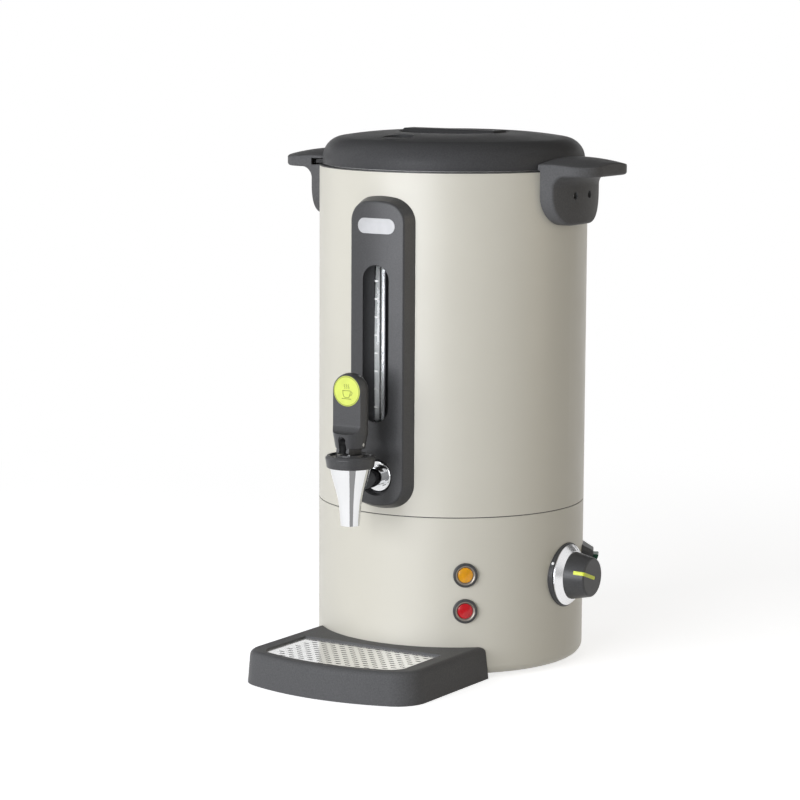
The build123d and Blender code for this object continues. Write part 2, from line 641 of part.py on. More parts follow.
def knob_bezel():
    """Fixed ring behind the knob, hollow at the back and cut to the shell's curve."""
    back = sqrt(BODY_R**2 - KNOB_BEZEL_R**2) - 3
    ring = rod(KNOB_BEZEL_R, back, KNOB_BEZEL_FACE, z=KNOB_Z)
    ring = fillet(ring.edges().group_by(Axis.Y)[0], 0.9)
    ring -= post(BODY_R + SEAT, KNOB_Z - 40, KNOB_Z + 40)
    ring -= rod(THERMO_SHAFT_R + 1, back - 5, KNOB_BEZEL_FACE + 1, z=KNOB_Z)
    return turn_to(KNOB_AZ, ring)


def knob_dial():
    """Conical metal skirt that turns with the knob."""
    back, rise = KNOB_DIAL_BACK, KNOB_DIAL_RISE
    edge = 0.9
    ring = turned_forward([(10, back), (KNOB_DIAL_R, back), (KNOB_DIAL_R, back + edge),
                           (KNOB_CAP_R + 0.5, back + rise), (KNOB_CAP_R - 2.4, back + rise),
                           (KNOB_CAP_R - 2.4, back + 1.3), (10, back + 1.3)])
    return turn_to(KNOB_AZ, Pos(0, 0, KNOB_Z) * ring)


def knob_cap_solid():
    """Tapered cap before it is hollowed, at the front."""
    back, face = KNOB_CAP_BACK, KNOB_CAP_FACE
    return turned_forward([(0, back), (KNOB_CAP_R, back), (KNOB_CAP_FACE_R, face), (0, face)], {2: 1.8})


def knob_pointer_cutter(grow):
    """Bar that covers the pointer's place, along the cap's side and over its face to the middle."""
    half = KNOB_POINTER_W / 2 + grow
    start = KNOB_CAP_BACK + KNOB_POINTER_FOOT
    past = KNOB_POINTER_PAST
    bar = block((-KNOB_CAP_R - 5, past), (-KNOB_CAP_FACE - 5, -start), (-half, half))
    bar += rod(half, start, KNOB_CAP_FACE + 5, past)
    return Rot(0, KNOB_POINTER_ANGLE, 0) * bar


def knob_cap():
    """Black knob cap: hollow, with a hub for the shaft and a groove for the pointer."""
    back, face = KNOB_CAP_BACK, KNOB_CAP_FACE
    wall = 2.2
    cap = knob_cap_solid()
    cap -= turned_forward([(7, back - 1), (KNOB_CAP_R - wall, back - 1), (KNOB_CAP_FACE_R - wall, face - 3),
                           (7, face - 3)])
    cap += rod(7, KNOB_DIAL_BACK + SEAT, back + 1)
    cap -= rod(THERMO_SHAFT_R + 0.03, back - 9, face - 4.9)
    skin = knob_cap_solid() - knob_pointer_core()
    cap -= skin & knob_pointer_cutter(0.05)
    return turn_to(KNOB_AZ, Pos(0, 0, KNOB_Z) * cap)


def knob_pointer_core():
    """The cap shrunk by the depth of the pointer's groove."""
    depth = 0.7
    back, face = KNOB_CAP_BACK - 1, KNOB_CAP_FACE - depth
    return turned_forward([(0, back), (KNOB_CAP_R - depth, back), (KNOB_CAP_FACE_R - depth, face), (0, face)],
                          {2: 1.8})


def knob_pointer():
    """Lime pointer let into the cap's side and face."""
    strip = (knob_cap_solid() - knob_pointer_core()) & knob_pointer_cutter(0)
    return turn_to(KNOB_AZ, Pos(0, 0, KNOB_Z) * strip)


# ---- switch ----
def switch_neck(grow=0.0):
    """Part of the switch body that passes through the shell."""
    width, height = ROCKER_SIZE[0] + 6 + 2 * grow, ROCKER_SIZE[1] + 6 + 2 * grow
    return block((-width / 2, width / 2), (-POD_FACE_OUT + 3, -SHELL_IN + 22),
                 (SWITCH_Z - height / 2, SWITCH_Z + height / 2))


def switch_pod():
    """Tapered surround that gives the switch a flat seat on the round shell."""
    back = sqrt(BODY_R**2 - (POD_BASE[0] / 2)**2) - 1
    base = Plane((0, -back, SWITCH_Z), x_dir=(1, 0, 0), z_dir=(0, -1, 0)) * RectangleRounded(*POD_BASE, 5)
    face = Plane((0, -POD_FACE_OUT, SWITCH_Z), x_dir=(1, 0, 0), z_dir=(0, -1, 0)) * RectangleRounded(*POD_FACE, 4)
    pod = loft([base.face(), face.face()])
    pod -= post(BODY_R + SEAT, SWITCH_Z - 40, SWITCH_Z + 40)
    pod -= switch_neck(SEAT)
    opening = Plane((0, -POD_FACE_OUT - 1, SWITCH_Z), x_dir=(1, 0, 0), z_dir=(0, 1, 0)) * Rectangle(
        ROCKER_SIZE[0] + 2 * RUN, ROCKER_SIZE[1] + 2 * ROCKER_SWING_GAP)
    return turn_to(SWITCH_AZ, pod - extrude(opening, 12))


def switch_body():
    """Switch insert: open well for the rocker, with terminals at the back."""
    body = switch_neck()
    width, height = ROCKER_SIZE[0] / 2 + RUN, ROCKER_SIZE[1] / 2 + ROCKER_SWING_GAP
    well = block((-width, width), (-POD_FACE_OUT - 1, -POD_FACE_OUT + 13),
                 (SWITCH_Z - height, SWITCH_Z + height))
    body -= well
    back = -SHELL_IN + 22
    for z in (-7, 0, 7):
        body += block((-3, 3), (back, back + 8), (SWITCH_Z + z - 0.4, SWITCH_Z + z + 0.4))
    return turn_to(SWITCH_AZ, body)


def switch_rocker():
    """Rocker with a hollowed face: it swings on its own cross pin."""
    half = ROCKER_SIZE[1] / 2
    axis = POD_FACE_OUT - ROCKER_AXIS_IN
    high, low = POD_FACE_OUT + ROCKER_PROUD, POD_FACE_OUT - 0.5
    side = [(-half, axis - 1), (half, axis - 1), (half, high), (0, POD_FACE_OUT + 1.2), (-half, low)]
    face = Plane.YZ * outline([(-d, SWITCH_Z + z) for z, d in side], {2: 1.0})
    width = ROCKER_SIZE[0] / 2
    rocker = extrude(face, width, both=True)
    rocker += Pos(0, -axis, SWITCH_Z) * Rot(0, 90, 0) * Cylinder(3.2, 2 * width)
    return turn_to(SWITCH_AZ, rocker)


# ---- gauge panel ----
def capsule(radius, low, high, out):
    """Upright bar with ball ends in front of the axis."""
    bar = post(radius, low + radius, high - radius, y=-out)
    return bar + Pos(0, -out, low + radius) * Sphere(radius) + Pos(0, -out, high - radius) * Sphere(radius)


def panel_plan(shrink):
    """Front view of the panel about its middle: straight sides, bowed ends and rounded corners."""
    half = PANEL_HALF_W - shrink
    high = (PANEL_TOP - PANEL_BOTTOM) / 2 - shrink
    bow = PANEL_END_R - shrink
    corner_z = high - (bow - sqrt(bow**2 - half**2))
    sides = [Line((side * half, -corner_z), (side * half, corner_z)) for side in (-1, 1)]
    ends = [ThreePointArc((-half, end * corner_z), (0, end * high), (half, end * corner_z)) for end in (-1, 1)]
    face = make_face(sides[0] + ends[1] + sides[1] + ends[0])
    for x in (-half, half):
        for z in (-corner_z, corner_z):
            face = fillet(face.vertices().sort_by_distance((x, z, 0))[0], PANEL_CORNER_R - shrink)
    return face


def panel_block(shrink):
    """Tapered bar with bowed ends under the panel's face, smaller by the shrink on every side."""
    start = sqrt(BODY_R**2 - PANEL_HALF_W**2) - 1
    middle = Plane((0, -start, (PANEL_TOP + PANEL_BOTTOM) / 2), x_dir=(1, 0, 0), z_dir=(0, -1, 0))
    bar = extrude(middle * panel_plan(shrink), PANEL_R - start + 4, taper=PANEL_TAPER)
    return bar & post(PANEL_R - shrink, PANEL_BOTTOM - 5, PANEL_TOP + 5)


def front_panel():
    """Moulded gauge panel: a hollow shell that follows the body, with an arched channel behind the
    tube, screw bosses, ribs, the seat of the tap and a shallow recess for the badge."""
    panel = panel_block(0)
    rim = [e for e in panel.edges() if hypot((e @ 0.5).X, (e @ 0.5).Y) > PANEL_R - 0.01
           and hypot((e @ 0).X, (e @ 0).Y) > PANEL_R - 0.01]
    panel = fillet(rim, PANEL_EDGE_R)
    outer = panel
    panel -= panel_block(PANEL_SKIN)
    inside = panel_block(PANEL_SKIN / 2) & outer
    channel_wall = capsule(CHANNEL_R + PANEL_SKIN, CHANNEL_LOW - PANEL_SKIN, CHANNEL_HIGH + PANEL_SKIN, CHANNEL_OUT)
    extra = channel_wall + rod(TAP_RECESS_R + PANEL_SKIN, BODY_R - 5, PANEL_R, z=SHANK_Z)
    for x, z in PANEL_SCREWS:
        for side in (-1, 1):
            extra += rod(PANEL_BOSS_R, BODY_R - 8, PANEL_R, side * x, z)
    for z in (CHANNEL_LOW - 12, CHANNEL_HIGH + 13):
        extra += block((-PANEL_HALF_W, PANEL_HALF_W), (-PANEL_R, -BODY_R + 8), (z - 0.8, z + 0.8)) - rod(
            8, BODY_R - 20, PANEL_R + 20, z=z)
    deep = post(PANEL_R - PANEL_SKIN / 2, PANEL_BOTTOM, PANEL_TOP)
    front_half = block((-60, 60), (-PANEL_R - 5, -BODY_R + 14), (PANEL_BOTTOM, PANEL_TOP))
    behind = channel_wall & deep & block((-SLOT_HALF_W + RUN, SLOT_HALF_W - RUN), (-PANEL_R, -BODY_R + 14),
                                         (CHANNEL_LOW - 2, CHANNEL_HIGH + 2))
    panel += (extra & inside & front_half) - post(BODY_R + SEAT, PANEL_BOTTOM - 5, PANEL_TOP + 5)
    panel -= post(BODY_R + SEAT, PANEL_BOTTOM - 5, PANEL_TOP + 5)
    panel += behind
    panel -= capsule(CHANNEL_R, CHANNEL_LOW, CHANNEL_HIGH, CHANNEL_OUT)
    panel -= post(TUBE_R + SEAT, TUBE_LOW, TUBE_HIGH, y=-TUBE_OUT)
    panel -= rod(TAP_RECESS_R, TAP_RECESS_FLOOR, PANEL_R + 5, z=SHANK_Z)
    panel -= rod(SHANK_R + 2.9, BODY_R - 5, PANEL_R + 5, z=SHANK_Z)
    panel -= badge_slab(SEAT) - post(PANEL_R - BADGE_T, BADGE_Z - 20, BADGE_Z + 20)
    for x, z in PANEL_SCREWS:
        for side in (-1, 1):
            panel -= rod(1.25, BODY_R - 8, PANEL_R - PANEL_SKIN - 1, side * x, z)
    return panel


def badge_slab(grow):
    """Round-ended bar through the badge's place."""
    shape = SlotOverall(BADGE_L + 2 * grow, BADGE_H + 2 * grow)
    return extrude(Plane((0, -PANEL_R + 8, BADGE_Z), x_dir=(1, 0, 0), z_dir=(0, -1, 0)) * shape, 14)


def badge_plate():
    """Bare metal plate that follows the panel's face."""
    face = post(PANEL_R + 0.2, BADGE_Z - 20, BADGE_Z + 20)
    back = post(PANEL_R - BADGE_T + 0.05, BADGE_Z - 20, BADGE_Z + 20)
    return badge_slab(0) & (face - back)


def panel_screws():
    """Screws from inside the jacket into the bosses of the panel."""
    screws = []
    for x, z in PANEL_SCREWS:
        for side in (-1, 1):
            seat = sqrt(SHELL_IN**2 - (x + 2.6)**2) - 0.05
            head = rod(2.6, seat - 1.8, seat, side * x, z)
            screws.append(head + rod(1.2, seat, BODY_R + 4.5, side * x, z))
    return screws


def sight_tube():
    """Glass level tube."""
    tube = post(TUBE_R, TUBE_LOW + 0.5, TUBE_HIGH - 0.5, y=-TUBE_OUT)
    return tube - post(TUBE_R - TUBE_T, TUBE_LOW, TUBE_HIGH, y=-TUBE_OUT)


def gauge_fitting(end, up):
    """Elbow at one end of the tube; up is +1 where the tube leaves it upwards."""
    cup_r = TUBE_R + FITTING_WALL + 0.05
    spigot_z = end - up * SPIGOT_DROP
    mouth = end + up * (TUBE_SOCKET - PANEL_SKIN - 1.2)
    back = spigot_z - up * (SPIGOT_R + 1)
    cup = post(cup_r, min(mouth, back), max(mouth, back), y=-TUBE_OUT)
    shoulder_end = TANK_SEAL_OUT + SEAL_T + 0.03
    cup += rod(6.0, shoulder_end, TUBE_OUT - 3, z=spigot_z)
    cup += rod(SPIGOT_R, TANK_R - 7.5, TUBE_OUT, z=spigot_z)
    cup -= post(TUBE_R + 0.05, min(end, mouth + up), max(end, mouth + up), y=-TUBE_OUT)
    cup -= rod(2.3, TANK_R - 9, TUBE_OUT, z=spigot_z)
    cup -= post(2.3, min(spigot_z, end + up), max(spigot_z, end + up), y=-TUBE_OUT)
    return cup


def gauge_seal(z):
    """Washer of a gauge elbow on the outside of the tank."""
    ring = rod(6.4, TANK_SEAL_OUT, TANK_SEAL_OUT + SEAL_T, z=z)
    return ring - rod(SPIGOT_R + 0.03, TANK_R, TANK_OUT + 5, z=z)


def gauge_nut(z):
    """Nut of a gauge elbow inside the tank."""
    corner = 12 / 2 / cos(radians(30))
    start = sqrt(TANK_R**2 - corner**2) - 4.02
    return forward(hex_nut(12, SPIGOT_R + 0.02, 4), start, z=z)


# ---- tap ----
def at_tap(shape):
    """Move a shape made about the body's axis to the spout's axis."""
    return Pos(0, -TAP_OUT, 0) * shape


def tap_body():
    """Chromed casting: the spout flares up to the valve chamber, and the shank runs back to the tank."""
    top = TAP_SHOULDER_Z
    drop = top - SPOUT_TIP_Z
    flare = [(SPOUT_TIP_R, SPOUT_TIP_Z), (8.3, SPOUT_TIP_Z + drop * 0.17), (9.4, SPOUT_TIP_Z + drop * 0.38),
             (11.7, SPOUT_TIP_Z + drop * 0.6), (14.6, SPOUT_TIP_Z + drop * 0.82), (TAP_SHOULDER_R, top)]
    skin = Spline(*flare, tangents=[(0.03, 1), (0.2, 1)])
    rest = Polyline(flare[-1], (NECK_R, top), (NECK_R, top + NECK_H), (NECK_R - 1.6, top + NECK_H),
                    (NECK_R - 1.6, top - 5), (CHAMBER_R, VALVE_SEAT_Z + 2.5), (CHAMBER_R, VALVE_SEAT_Z),
                    (OUTLET_R, VALVE_SEAT_Z), (OUTLET_R, SPOUT_TIP_Z), flare[0])
    spout = at_tap(revolve(Plane.XZ * make_face(skin + rest), Axis.Z))
    shank = rod(SHANK_R, SHANK_END, TAP_OUT - CHAMBER_R - 1.2, z=SHANK_Z)
    shank += rod(SHANK_R + 1.6, TAP_RECESS_FLOOR + 4.3, TAP_RECESS_FLOOR + 7, z=SHANK_Z)
    shank -= rod(SHANK_BORE_R, SHANK_END - 1, TAP_OUT, z=SHANK_Z)
    hollow = at_tap(post(CHAMBER_R, VALVE_SEAT_Z, top + 2))
    body = spout + (shank - hollow)
    return body - rod(SHANK_BORE_R, SHANK_END - 1, TAP_OUT - 4, z=SHANK_Z)


def tap_escutcheon():
    """Chromed ring in the panel's recess; its sleeve passes the clamping load to the tank wall."""
    ring = rod(ESCUTCHEON_R, TAP_RECESS_FLOOR + 0.05, TAP_RECESS_FLOOR + 4.2, z=SHANK_Z)
    ring = fillet(ring.edges().group_by(Axis.Y)[0], 1.6)
    ring += rod(SHANK_R + 2.6, TANK_SEAL_OUT + 1.05, TAP_RECESS_FLOOR + 1, z=SHANK_Z)
    return ring - rod(SHANK_R + 0.05, TANK_R, TAP_RECESS_FLOOR + 9, z=SHANK_Z)


def tap_washers():
    """Silicone washers on both sides of the tank wall."""
    outer_r = 12.4
    outside = rod(outer_r, TANK_SEAL_OUT, TANK_SEAL_OUT + 1, z=SHANK_Z)
    seat = sqrt(TANK_R**2 - outer_r**2) - 0.02
    inside = rod(outer_r, seat - 1, seat, z=SHANK_Z)
    bore = rod(SHANK_R + 0.05, TANK_R - 5, TANK_OUT + 5, z=SHANK_Z)
    return [outside - bore, inside - bore]


def tap_lock_nut():
    """Nut on the shank inside the tank."""
    seat = sqrt(TANK_R**2 - 12.4**2) - 0.02
    return forward(hex_nut(24, SHANK_R + 0.02, 5), seat - 1.02 - 5, z=SHANK_Z)


def tap_bonnet():
    """Black collar screwed on the chamber: it guides the stem and carries the cam's pad."""
    low = TAP_SHOULDER_Z + SEAT
    hole = STEM_R + SHAFT_RUN
    bonnet = turned(
        [(NECK_R + 0.05, low), (BONNET_R - 1.3, low), (BONNET_R, BONNET_TOP_Z - 2.2), (BONNET_R - 1.6, BONNET_TOP_Z),
         (BONNET_R - 3.2, BONNET_TOP_Z), (BONNET_R - 4.4, BONNET_TOP_Z - 1.6), (11.6, BONNET_TOP_Z - 1.6),
         (11.0, BONNET_PAD_Z), (hole, BONNET_PAD_Z), (hole, BONNET_CEILING_Z), (NECK_R - 1.2, BONNET_CEILING_Z),
         (NECK_R - 1.2, low + NECK_H + 0.1), (NECK_R + 0.05, low + NECK_H + 0.1)],
        {1: 0.8, 2: 1.0, 3: 0.9},
    )
    return at_tap(bonnet)


def tap_stem():
    """Stem with the spring's collar, its lower end in the seat cup and an eye for the lever's pin."""
    stem = post(STEM_R, VALVE_SEAT_Z + 3.2, PIN_Z)
    stem += post(SPRING_R + 1.4, VALVE_SEAT_Z + 12, VALVE_SEAT_Z + 13.4)
    stem += Pos(0, 0, PIN_Z) * Rot(0, 90, 0) * Cylinder(STEM_R + 0.6, LEVER_SLOT_W - 2 * RUN)
    stem -= Pos(0, 0, PIN_Z) * Rot(0, 90, 0) * Cylinder(PIN_R + SHAFT_RUN, 20)
    return at_tap(stem)


def tap_seat_cup():
    """Silicone cup that closes the outlet."""
    low = VALVE_SEAT_Z + 0.15
    cup = turned([(0, low), (CHAMBER_R - 1.0, low), (CHAMBER_R - 1.0, low + 3), (6.5, low + 9),
                  (STEM_R + 0.03, low + 9), (STEM_R + 0.03, low + 3), (0, low + 3)], {2: 1.2, 3: 1.2})
    return at_tap(cup)


def tap_spring():
    """Coil spring that shuts the tap."""
    low = VALVE_SEAT_Z + 13.4 + SPRING_WIRE_R + 0.05
    high = BONNET_CEILING_Z - SPRING_WIRE_R - 0.05
    path = Helix((high - low) / SPRING_TURNS, high - low, SPRING_R)
    wire = sweep(Plane(path @ 0, z_dir=path % 0) * Circle(SPRING_WIRE_R), path)
    return at_tap(Pos(0, 0, low) * wire)


def cam_point(tilt):
    """Point of the cam, from the pin, that meets the pad at a tilt in radians: an involute, so that the
    stem rises in proportion to the tilt."""
    reach = CAM_DROP + CAM_LEAD * tilt
    return (-reach * sin(tilt) - CAM_LEAD * cos(tilt), -reach * cos(tilt) + CAM_LEAD * sin(tilt))


def lever_cam():
    """Cam plate between the lever's cheeks and the bonnet's pad, across the whole width."""
    steps = 6
    last = radians(LEVER_TILT + 5)
    nose = [cam_point(last * i / steps) for i in range(steps + 1)]
    curve = Spline(*nose)
    top = LEVER_BOTTOM_Z - PIN_Z + 1
    rest = Polyline(nose[-1], (nose[-1][0] + 0.8, top), (8.0, top), (7.2, -CAM_DROP), nose[0])
    face = Plane.YZ * (Pos(0, PIN_Z) * make_face(curve + rest))
    return extrude(face, CAM_OUTER_X, both=True)


def tap_lever():
    """Lever: a domed round paddle with a flat face, a coved ledge, and a slotted barrel whose cam
    foot rolls on the bonnet."""
    lever = turned([(0, LEVER_BOTTOM_Z), (LEVER_FOOT_R, LEVER_BOTTOM_Z), (LEVER_R, LEVER_RIM_Z), (LEVER_R, LEVER_DOME_Z),
                    (0, LEVER_DOME_Z)], {1: 1.0})
    lever += Pos(0, 0, LEVER_DOME_Z) * Sphere(LEVER_R)
    face, rim = -LEVER_FACE_OUT, -LEVER_R - 0.3
    cove = ThreePointArc((rim, LEVER_RIM_Z),
                         (rim + 0.707 * (face - rim), LEVER_FACE_LOW_Z - 0.707 * (LEVER_FACE_LOW_Z - LEVER_RIM_Z)),
                         (face, LEVER_FACE_LOW_Z))
    walls = Polyline((face, LEVER_FACE_LOW_Z), (face, 270), (-30, 270), (-30, LEVER_RIM_Z), (rim, LEVER_RIM_Z))
    lever -= extrude(Plane.YZ * make_face(cove + walls), 30, both=True)
    lever += lever_cam()
    half = LEVER_SLOT_W / 2
    slot = block((-half, half), (-30, 4.2), (LEVER_BOTTOM_Z - 10, LEVER_SLOT_TOP_Z - half))
    slot += Pos(0, (-30 + 4.2) / 2, LEVER_SLOT_TOP_Z - half) * Rot(90, 0, 0) * Cylinder(half, 34.2)
    lever -= slot
    lever -= Pos(0, 0, PIN_Z) * Rot(0, 90, 0) * Cylinder(PIN_R + 0.02, 40)
    lever -= rod(LEVER_BADGE_R + SEAT / 2, LEVER_FACE_OUT - LEVER_BADGE_T + 0.2, 20, z=LEVER_DOME_Z)
    return at_tap(lever)


def lever_pin():
    """Cross pin that joins the lever to the stem."""
    length = 2 * (LEVER_FOOT_R + 0.5)
    return at_tap(Pos(0, 0, PIN_Z) * Rot(0, 90, 0) * Cylinder(PIN_R, length))


def lever_badge():
    """Round lime insert in the lever's face."""
    start = LEVER_FACE_OUT - LEVER_BADGE_T + 0.22
    disc = rod(LEVER_BADGE_R, start, start + LEVER_BADGE_T, z=LEVER_DOME_Z)
    return at_tap(fillet(disc.edges().group_by(Axis.Y)[0], 0.4))


# ---- handles ----
def handle_plan(half, reach, corner):
    """Top view of the grip, made at the front: straight sides and two rounded outer corners."""
    return outline([(-half, -60), (half, -60), (half, -reach), (-half, -reach)], {2: corner, 3: corner})


def handle():
    """Grip with a domed top, its mounting plate round the body and the hollow between them, and the
    bayonet slot for the lid's lug. It is made at the front; the slot is open on its +X side."""
    half, face, under = HANDLE_HALF_W, PLATE_FACE_R, GRIP_BOTTOM_Z
    grip = extrude(Pos(0, 0, under) * handle_plan(half, HANDLE_REACH, HANDLE_CORNER_R), GRIP_TOP_Z - under)
    grip &= Pos(0, -BODY_R, GRIP_TOP_Z - GRIP_CROWN_R) * Sphere(GRIP_CROWN_R)
    grip = fillet([e for e in grip.edges() if (e @ 0.5).Z > under + 5 and (e @ 0.5).Y < -65], GRIP_EDGE_R)
    cove = PLATE_COVE_R
    back = sqrt(BODY_R**2 - half**2) - 4
    inner = Polyline((face + cove, under), (face + cove, under + 1), (back, under + 1), (back, PLATE_BOTTOM_Z),
                     (face, PLATE_BOTTOM_Z), (face, under - cove))
    hollow = ThreePointArc((face, under - cove), (face + 0.2929 * cove, under - 0.2929 * cove), (face + cove, under))
    web = revolve(Plane.XZ * make_face(inner + hollow), Axis.Z)
    plate_h = under + 1 - PLATE_BOTTOM_Z
    corners = {2: PLATE_CORNER_R, 3: PLATE_CORNER_R}
    plan = outline([(-half, 0), (half, 0), (half, -plate_h), (-half, -plate_h)], corners)
    web &= extrude(Plane((0, -back, under + 1), x_dir=(1, 0, 0), z_dir=(0, -1, 0)) * plan, 60)
    body = grip + web
    rim = []
    for edge in body.edges():
        at = edge @ 0.5
        out = hypot(at.X, at.Y)
        seam = abs(at.X) < 5 and out < HANDLE_REACH - 1 and at.Z > PLATE_BOTTOM_Z + 1
        if at.Z < under + 0.01 and out > face - 0.01 and not seam:
            rim.append(edge)
    body = fillet(rim, HANDLE_EDGE_R)
    body -= post(BODY_R + SEAT + 0.05, PLATE_BOTTOM_Z - 10, LID_BOTTOM_Z)
    body -= post(LID_R + RUN + 0.35, LID_BOTTOM_Z - 1, GRIP_TOP_Z + 5)
    body -= bayonet_slot()
    for x in (-HANDLE_SCREW_X, HANDLE_SCREW_X):
        body -= rod(HANDLE_SCREW_R + SEAT, BODY_R - 10, PLATE_FACE_R + 5, x, HANDLE_SCREW_Z)
        body -= rod(HANDLE_RECESS_R, HANDLE_SCREW_SEAT, PLATE_FACE_R + 5, x, HANDLE_SCREW_Z)
    return body


def bayonet_slot():
    """Curved slot for the lug, from the handle's +X side to just past its middle."""
    ring = pipe(BODY_R + BAYONET_OUT, LID_R - 5, SLOT_Z, SLOT_TOP_Z)
    stop = radians(LUG_HALF_ANGLE + 1.2)
    far = 200
    sector = Polyline((0, 0), (-far * sin(stop), -far * cos(stop)), (far, -far), (far, 0), close=True)
    return ring & extrude(Pos(0, 0, SLOT_Z - 1) * make_face(sector), 20)


def handle_screws():
    """Four screws that hold the handles."""
    screws = []
    for azimuth in (90, 270):
        for x in (-HANDLE_SCREW_X, HANDLE_SCREW_X):
            seat = HANDLE_SCREW_SEAT
            screw = rod(HANDLE_RECESS_R - 0.3, seat + 0.02, seat + 2, x, HANDLE_SCREW_Z)
            screw = fillet(screw.edges().group_by(Axis.Y)[0], 0.8)
            screw += rod(HANDLE_SCREW_R, SHELL_IN - 4, seat + 0.5, x, HANDLE_SCREW_Z)
            screws.append(turn_to(azimuth, screw))
    return screws


def handle_nuts():
    """Nuts of the handle screws, inside the jacket."""
    nuts = []
    for azimuth in (90, 270):
        for x in (-HANDLE_SCREW_X, HANDLE_SCREW_X):
            start = sqrt(SHELL_IN**2 - (HANDLE_SCREW_X + 4.1)**2) - 2.6
            nuts.append(turn_to(azimuth, forward(hex_nut(7, HANDLE_SCREW_R + 0.02, 2.5), start, x, HANDLE_SCREW_Z)))
    return nuts


# ---- lid ----
def lid_curve(inset):
    """Edges of the lid's profile in (radius, height), moved inwards by the inset, and its two ends:
    the upright band, the round shoulder and the low dome up to the finger well."""
    centre_r = LID_R - LID_SHOULDER_R
    reach = LID_SHOULDER_R - inset
    lean, half = radians(LID_DOME_LEAN), radians((90 + LID_DOME_LEAN) / 2)
    foot = (LID_R - inset, LID_BOTTOM_Z)
    side = (LID_R - inset, LID_BAND_TOP_Z)
    bend = (centre_r + reach * sin(half), LID_BAND_TOP_Z + reach * cos(half))
    edge = (centre_r + reach * sin(lean), LID_BAND_TOP_Z + reach * cos(lean))
    top = (WELL_R + inset, LID_TOP_Z - inset)
    dome = TangentArc(edge, top, tangent=(-cos(lean), sin(lean)))
    return Line(foot, side) + ThreePointArc(side, bend, edge) + dome, foot, top


def lid_cover():
    """Moulded cover: side band, round shoulder, low dome, the finger well in the middle, two bayonet
    lugs and the seat of the steam vent."""
    outer, outer_foot, outer_top = lid_curve(0)
    inner, inner_foot, inner_top = lid_curve(LID_WALL)
    floor = LID_TOP_Z - WELL_DEPTH
    well = Polyline(outer_top, (WELL_R, floor), (0, floor), (0, floor - LID_WALL),
                    (WELL_R + LID_WALL, floor - LID_WALL), inner_top)
    profile = make_face(outer + well + inner + Line(inner_foot, outer_foot))
    cover = revolve(Plane.XZ * profile, Axis.Z)
    brim = [e for e in cover.edges().filter_by(GeomType.CIRCLE)
            if abs(e.radius - WELL_R) < 0.01 and (e @ 0).Z > floor + 1]
    cover = fillet(brim, 1.5)
    lug = pipe(LID_R + LUG_OUT, LID_R - 1, LUG_Z, LUG_Z + LUG_T)
    half = radians(LUG_HALF_ANGLE)
    wedge = Polyline((0, 0), (200 * sin(half), -200 * cos(half)), (-200 * sin(half), -200 * cos(half)), close=True)
    lug &= extrude(Pos(0, 0, LUG_Z) * make_face(wedge), LUG_T)
    for azimuth in (90 + LUG_REST_TURN, 270 + LUG_REST_TURN):
        cover += turn_to(azimuth, lug)
    seat_z = VENT_Z - VENT_RIM_T - SEAT
    seat = post(VENT_R + 2.2, seat_z - LID_WALL, seat_z + 1) - post(VENT_R + SEAT, seat_z, seat_z + 9)
    cover -= Pos(*VENT_AT, 0) * post(VENT_R + SEAT, seat_z, LID_TOP_Z + 5)
    cover += Pos(*VENT_AT, 0) * (seat - post(VENT_R - 3, seat_z - 9, seat_z + 9))
    cover -= Pos(*VENT_AT, 0) * post(VENT_R - 3, seat_z - 5, seat_z + 5)
    for x in (-LID_SCREW_X, LID_SCREW_X):
        cover -= post(1.8, floor - 5, floor + 1, x)
    return cover


def lid_grip():
    """Bar across the finger well, a little above the lid's top."""
    floor = LID_TOP_Z - WELL_DEPTH
    half = sqrt((WELL_R - RUN)**2 - (LID_GRIP_W / 2)**2)
    bar = block((-half, half), (-LID_GRIP_W / 2, LID_GRIP_W / 2), (floor + SEAT / 2, LID_GRIP_TOP_Z))
    bar = fillet(bar.edges().filter_by(Axis.X).group_by(Axis.Z)[-1], 4)
    for x in (-LID_SCREW_X, LID_SCREW_X):
        bar -= post(1.3, floor - 1, floor + 7, x)
    return bar


def steam_vent():
    """Round vent insert with a slotted top, let into the dome."""
    seat = VENT_Z - VENT_RIM_T
    disc = post(VENT_R, seat, VENT_Z) + post(VENT_R - 3.2, seat - 5, seat + 0.1)
    disc = fillet(disc.edges().group_by(Axis.Z)[-1], 0.5)
    disc -= post(VENT_R - 5, seat - 6, seat + 0.8)
    for x in (-4.5, 0, 4.5):
        disc -= block((x - 0.9, x + 0.9), (-5, 5), (seat - 1, VENT_Z + 1))
    return Pos(*VENT_AT, 0) * disc


def lid_liner():
    """Inner pan of the lid: it centres in the tank, and its flange covers the gasket."""
    low = RIM_Z - LINER_DROP
    flange_z = RIM_Z + GASKET_H + 0.5
    inner = LINER_R - LINER_T
    shelf = LID_R - LID_WALL - 0.1
    pan = turned([(0, low), (LINER_R, low), (LINER_R, flange_z), (shelf, flange_z),
                  (shelf, flange_z + LINER_T), (inner, flange_z + LINER_T), (inner, low + LINER_T),
                  (0, low + LINER_T)], {1: 5, 6: 3.5})
    for hole in around((0, 90, 180, 270), post(2.5, low - 1, low + 5, y=-40)):
        pan -= hole
    return pan


def lid_gasket():
    """Silicone ring between the tank's rim and the lid."""
    low = RIM_Z + 0.15
    return turned([(GASKET_INNER_R, low), (GASKET_OUTER_R, low), (GASKET_OUTER_R, low + GASKET_H),
                   (GASKET_INNER_R, low + GASKET_H)], {2: 0.6, 3: 0.6})


def lid_screws():
    """Two screws from under the well into the grip."""
    floor = LID_TOP_Z - WELL_DEPTH
    seat = floor - LID_WALL - 0.02
    return [post(3.2, seat - 2, seat, x) + post(1.25, seat - 0.5, floor + 6, x)
            for x in (-LID_SCREW_X, LID_SCREW_X)]


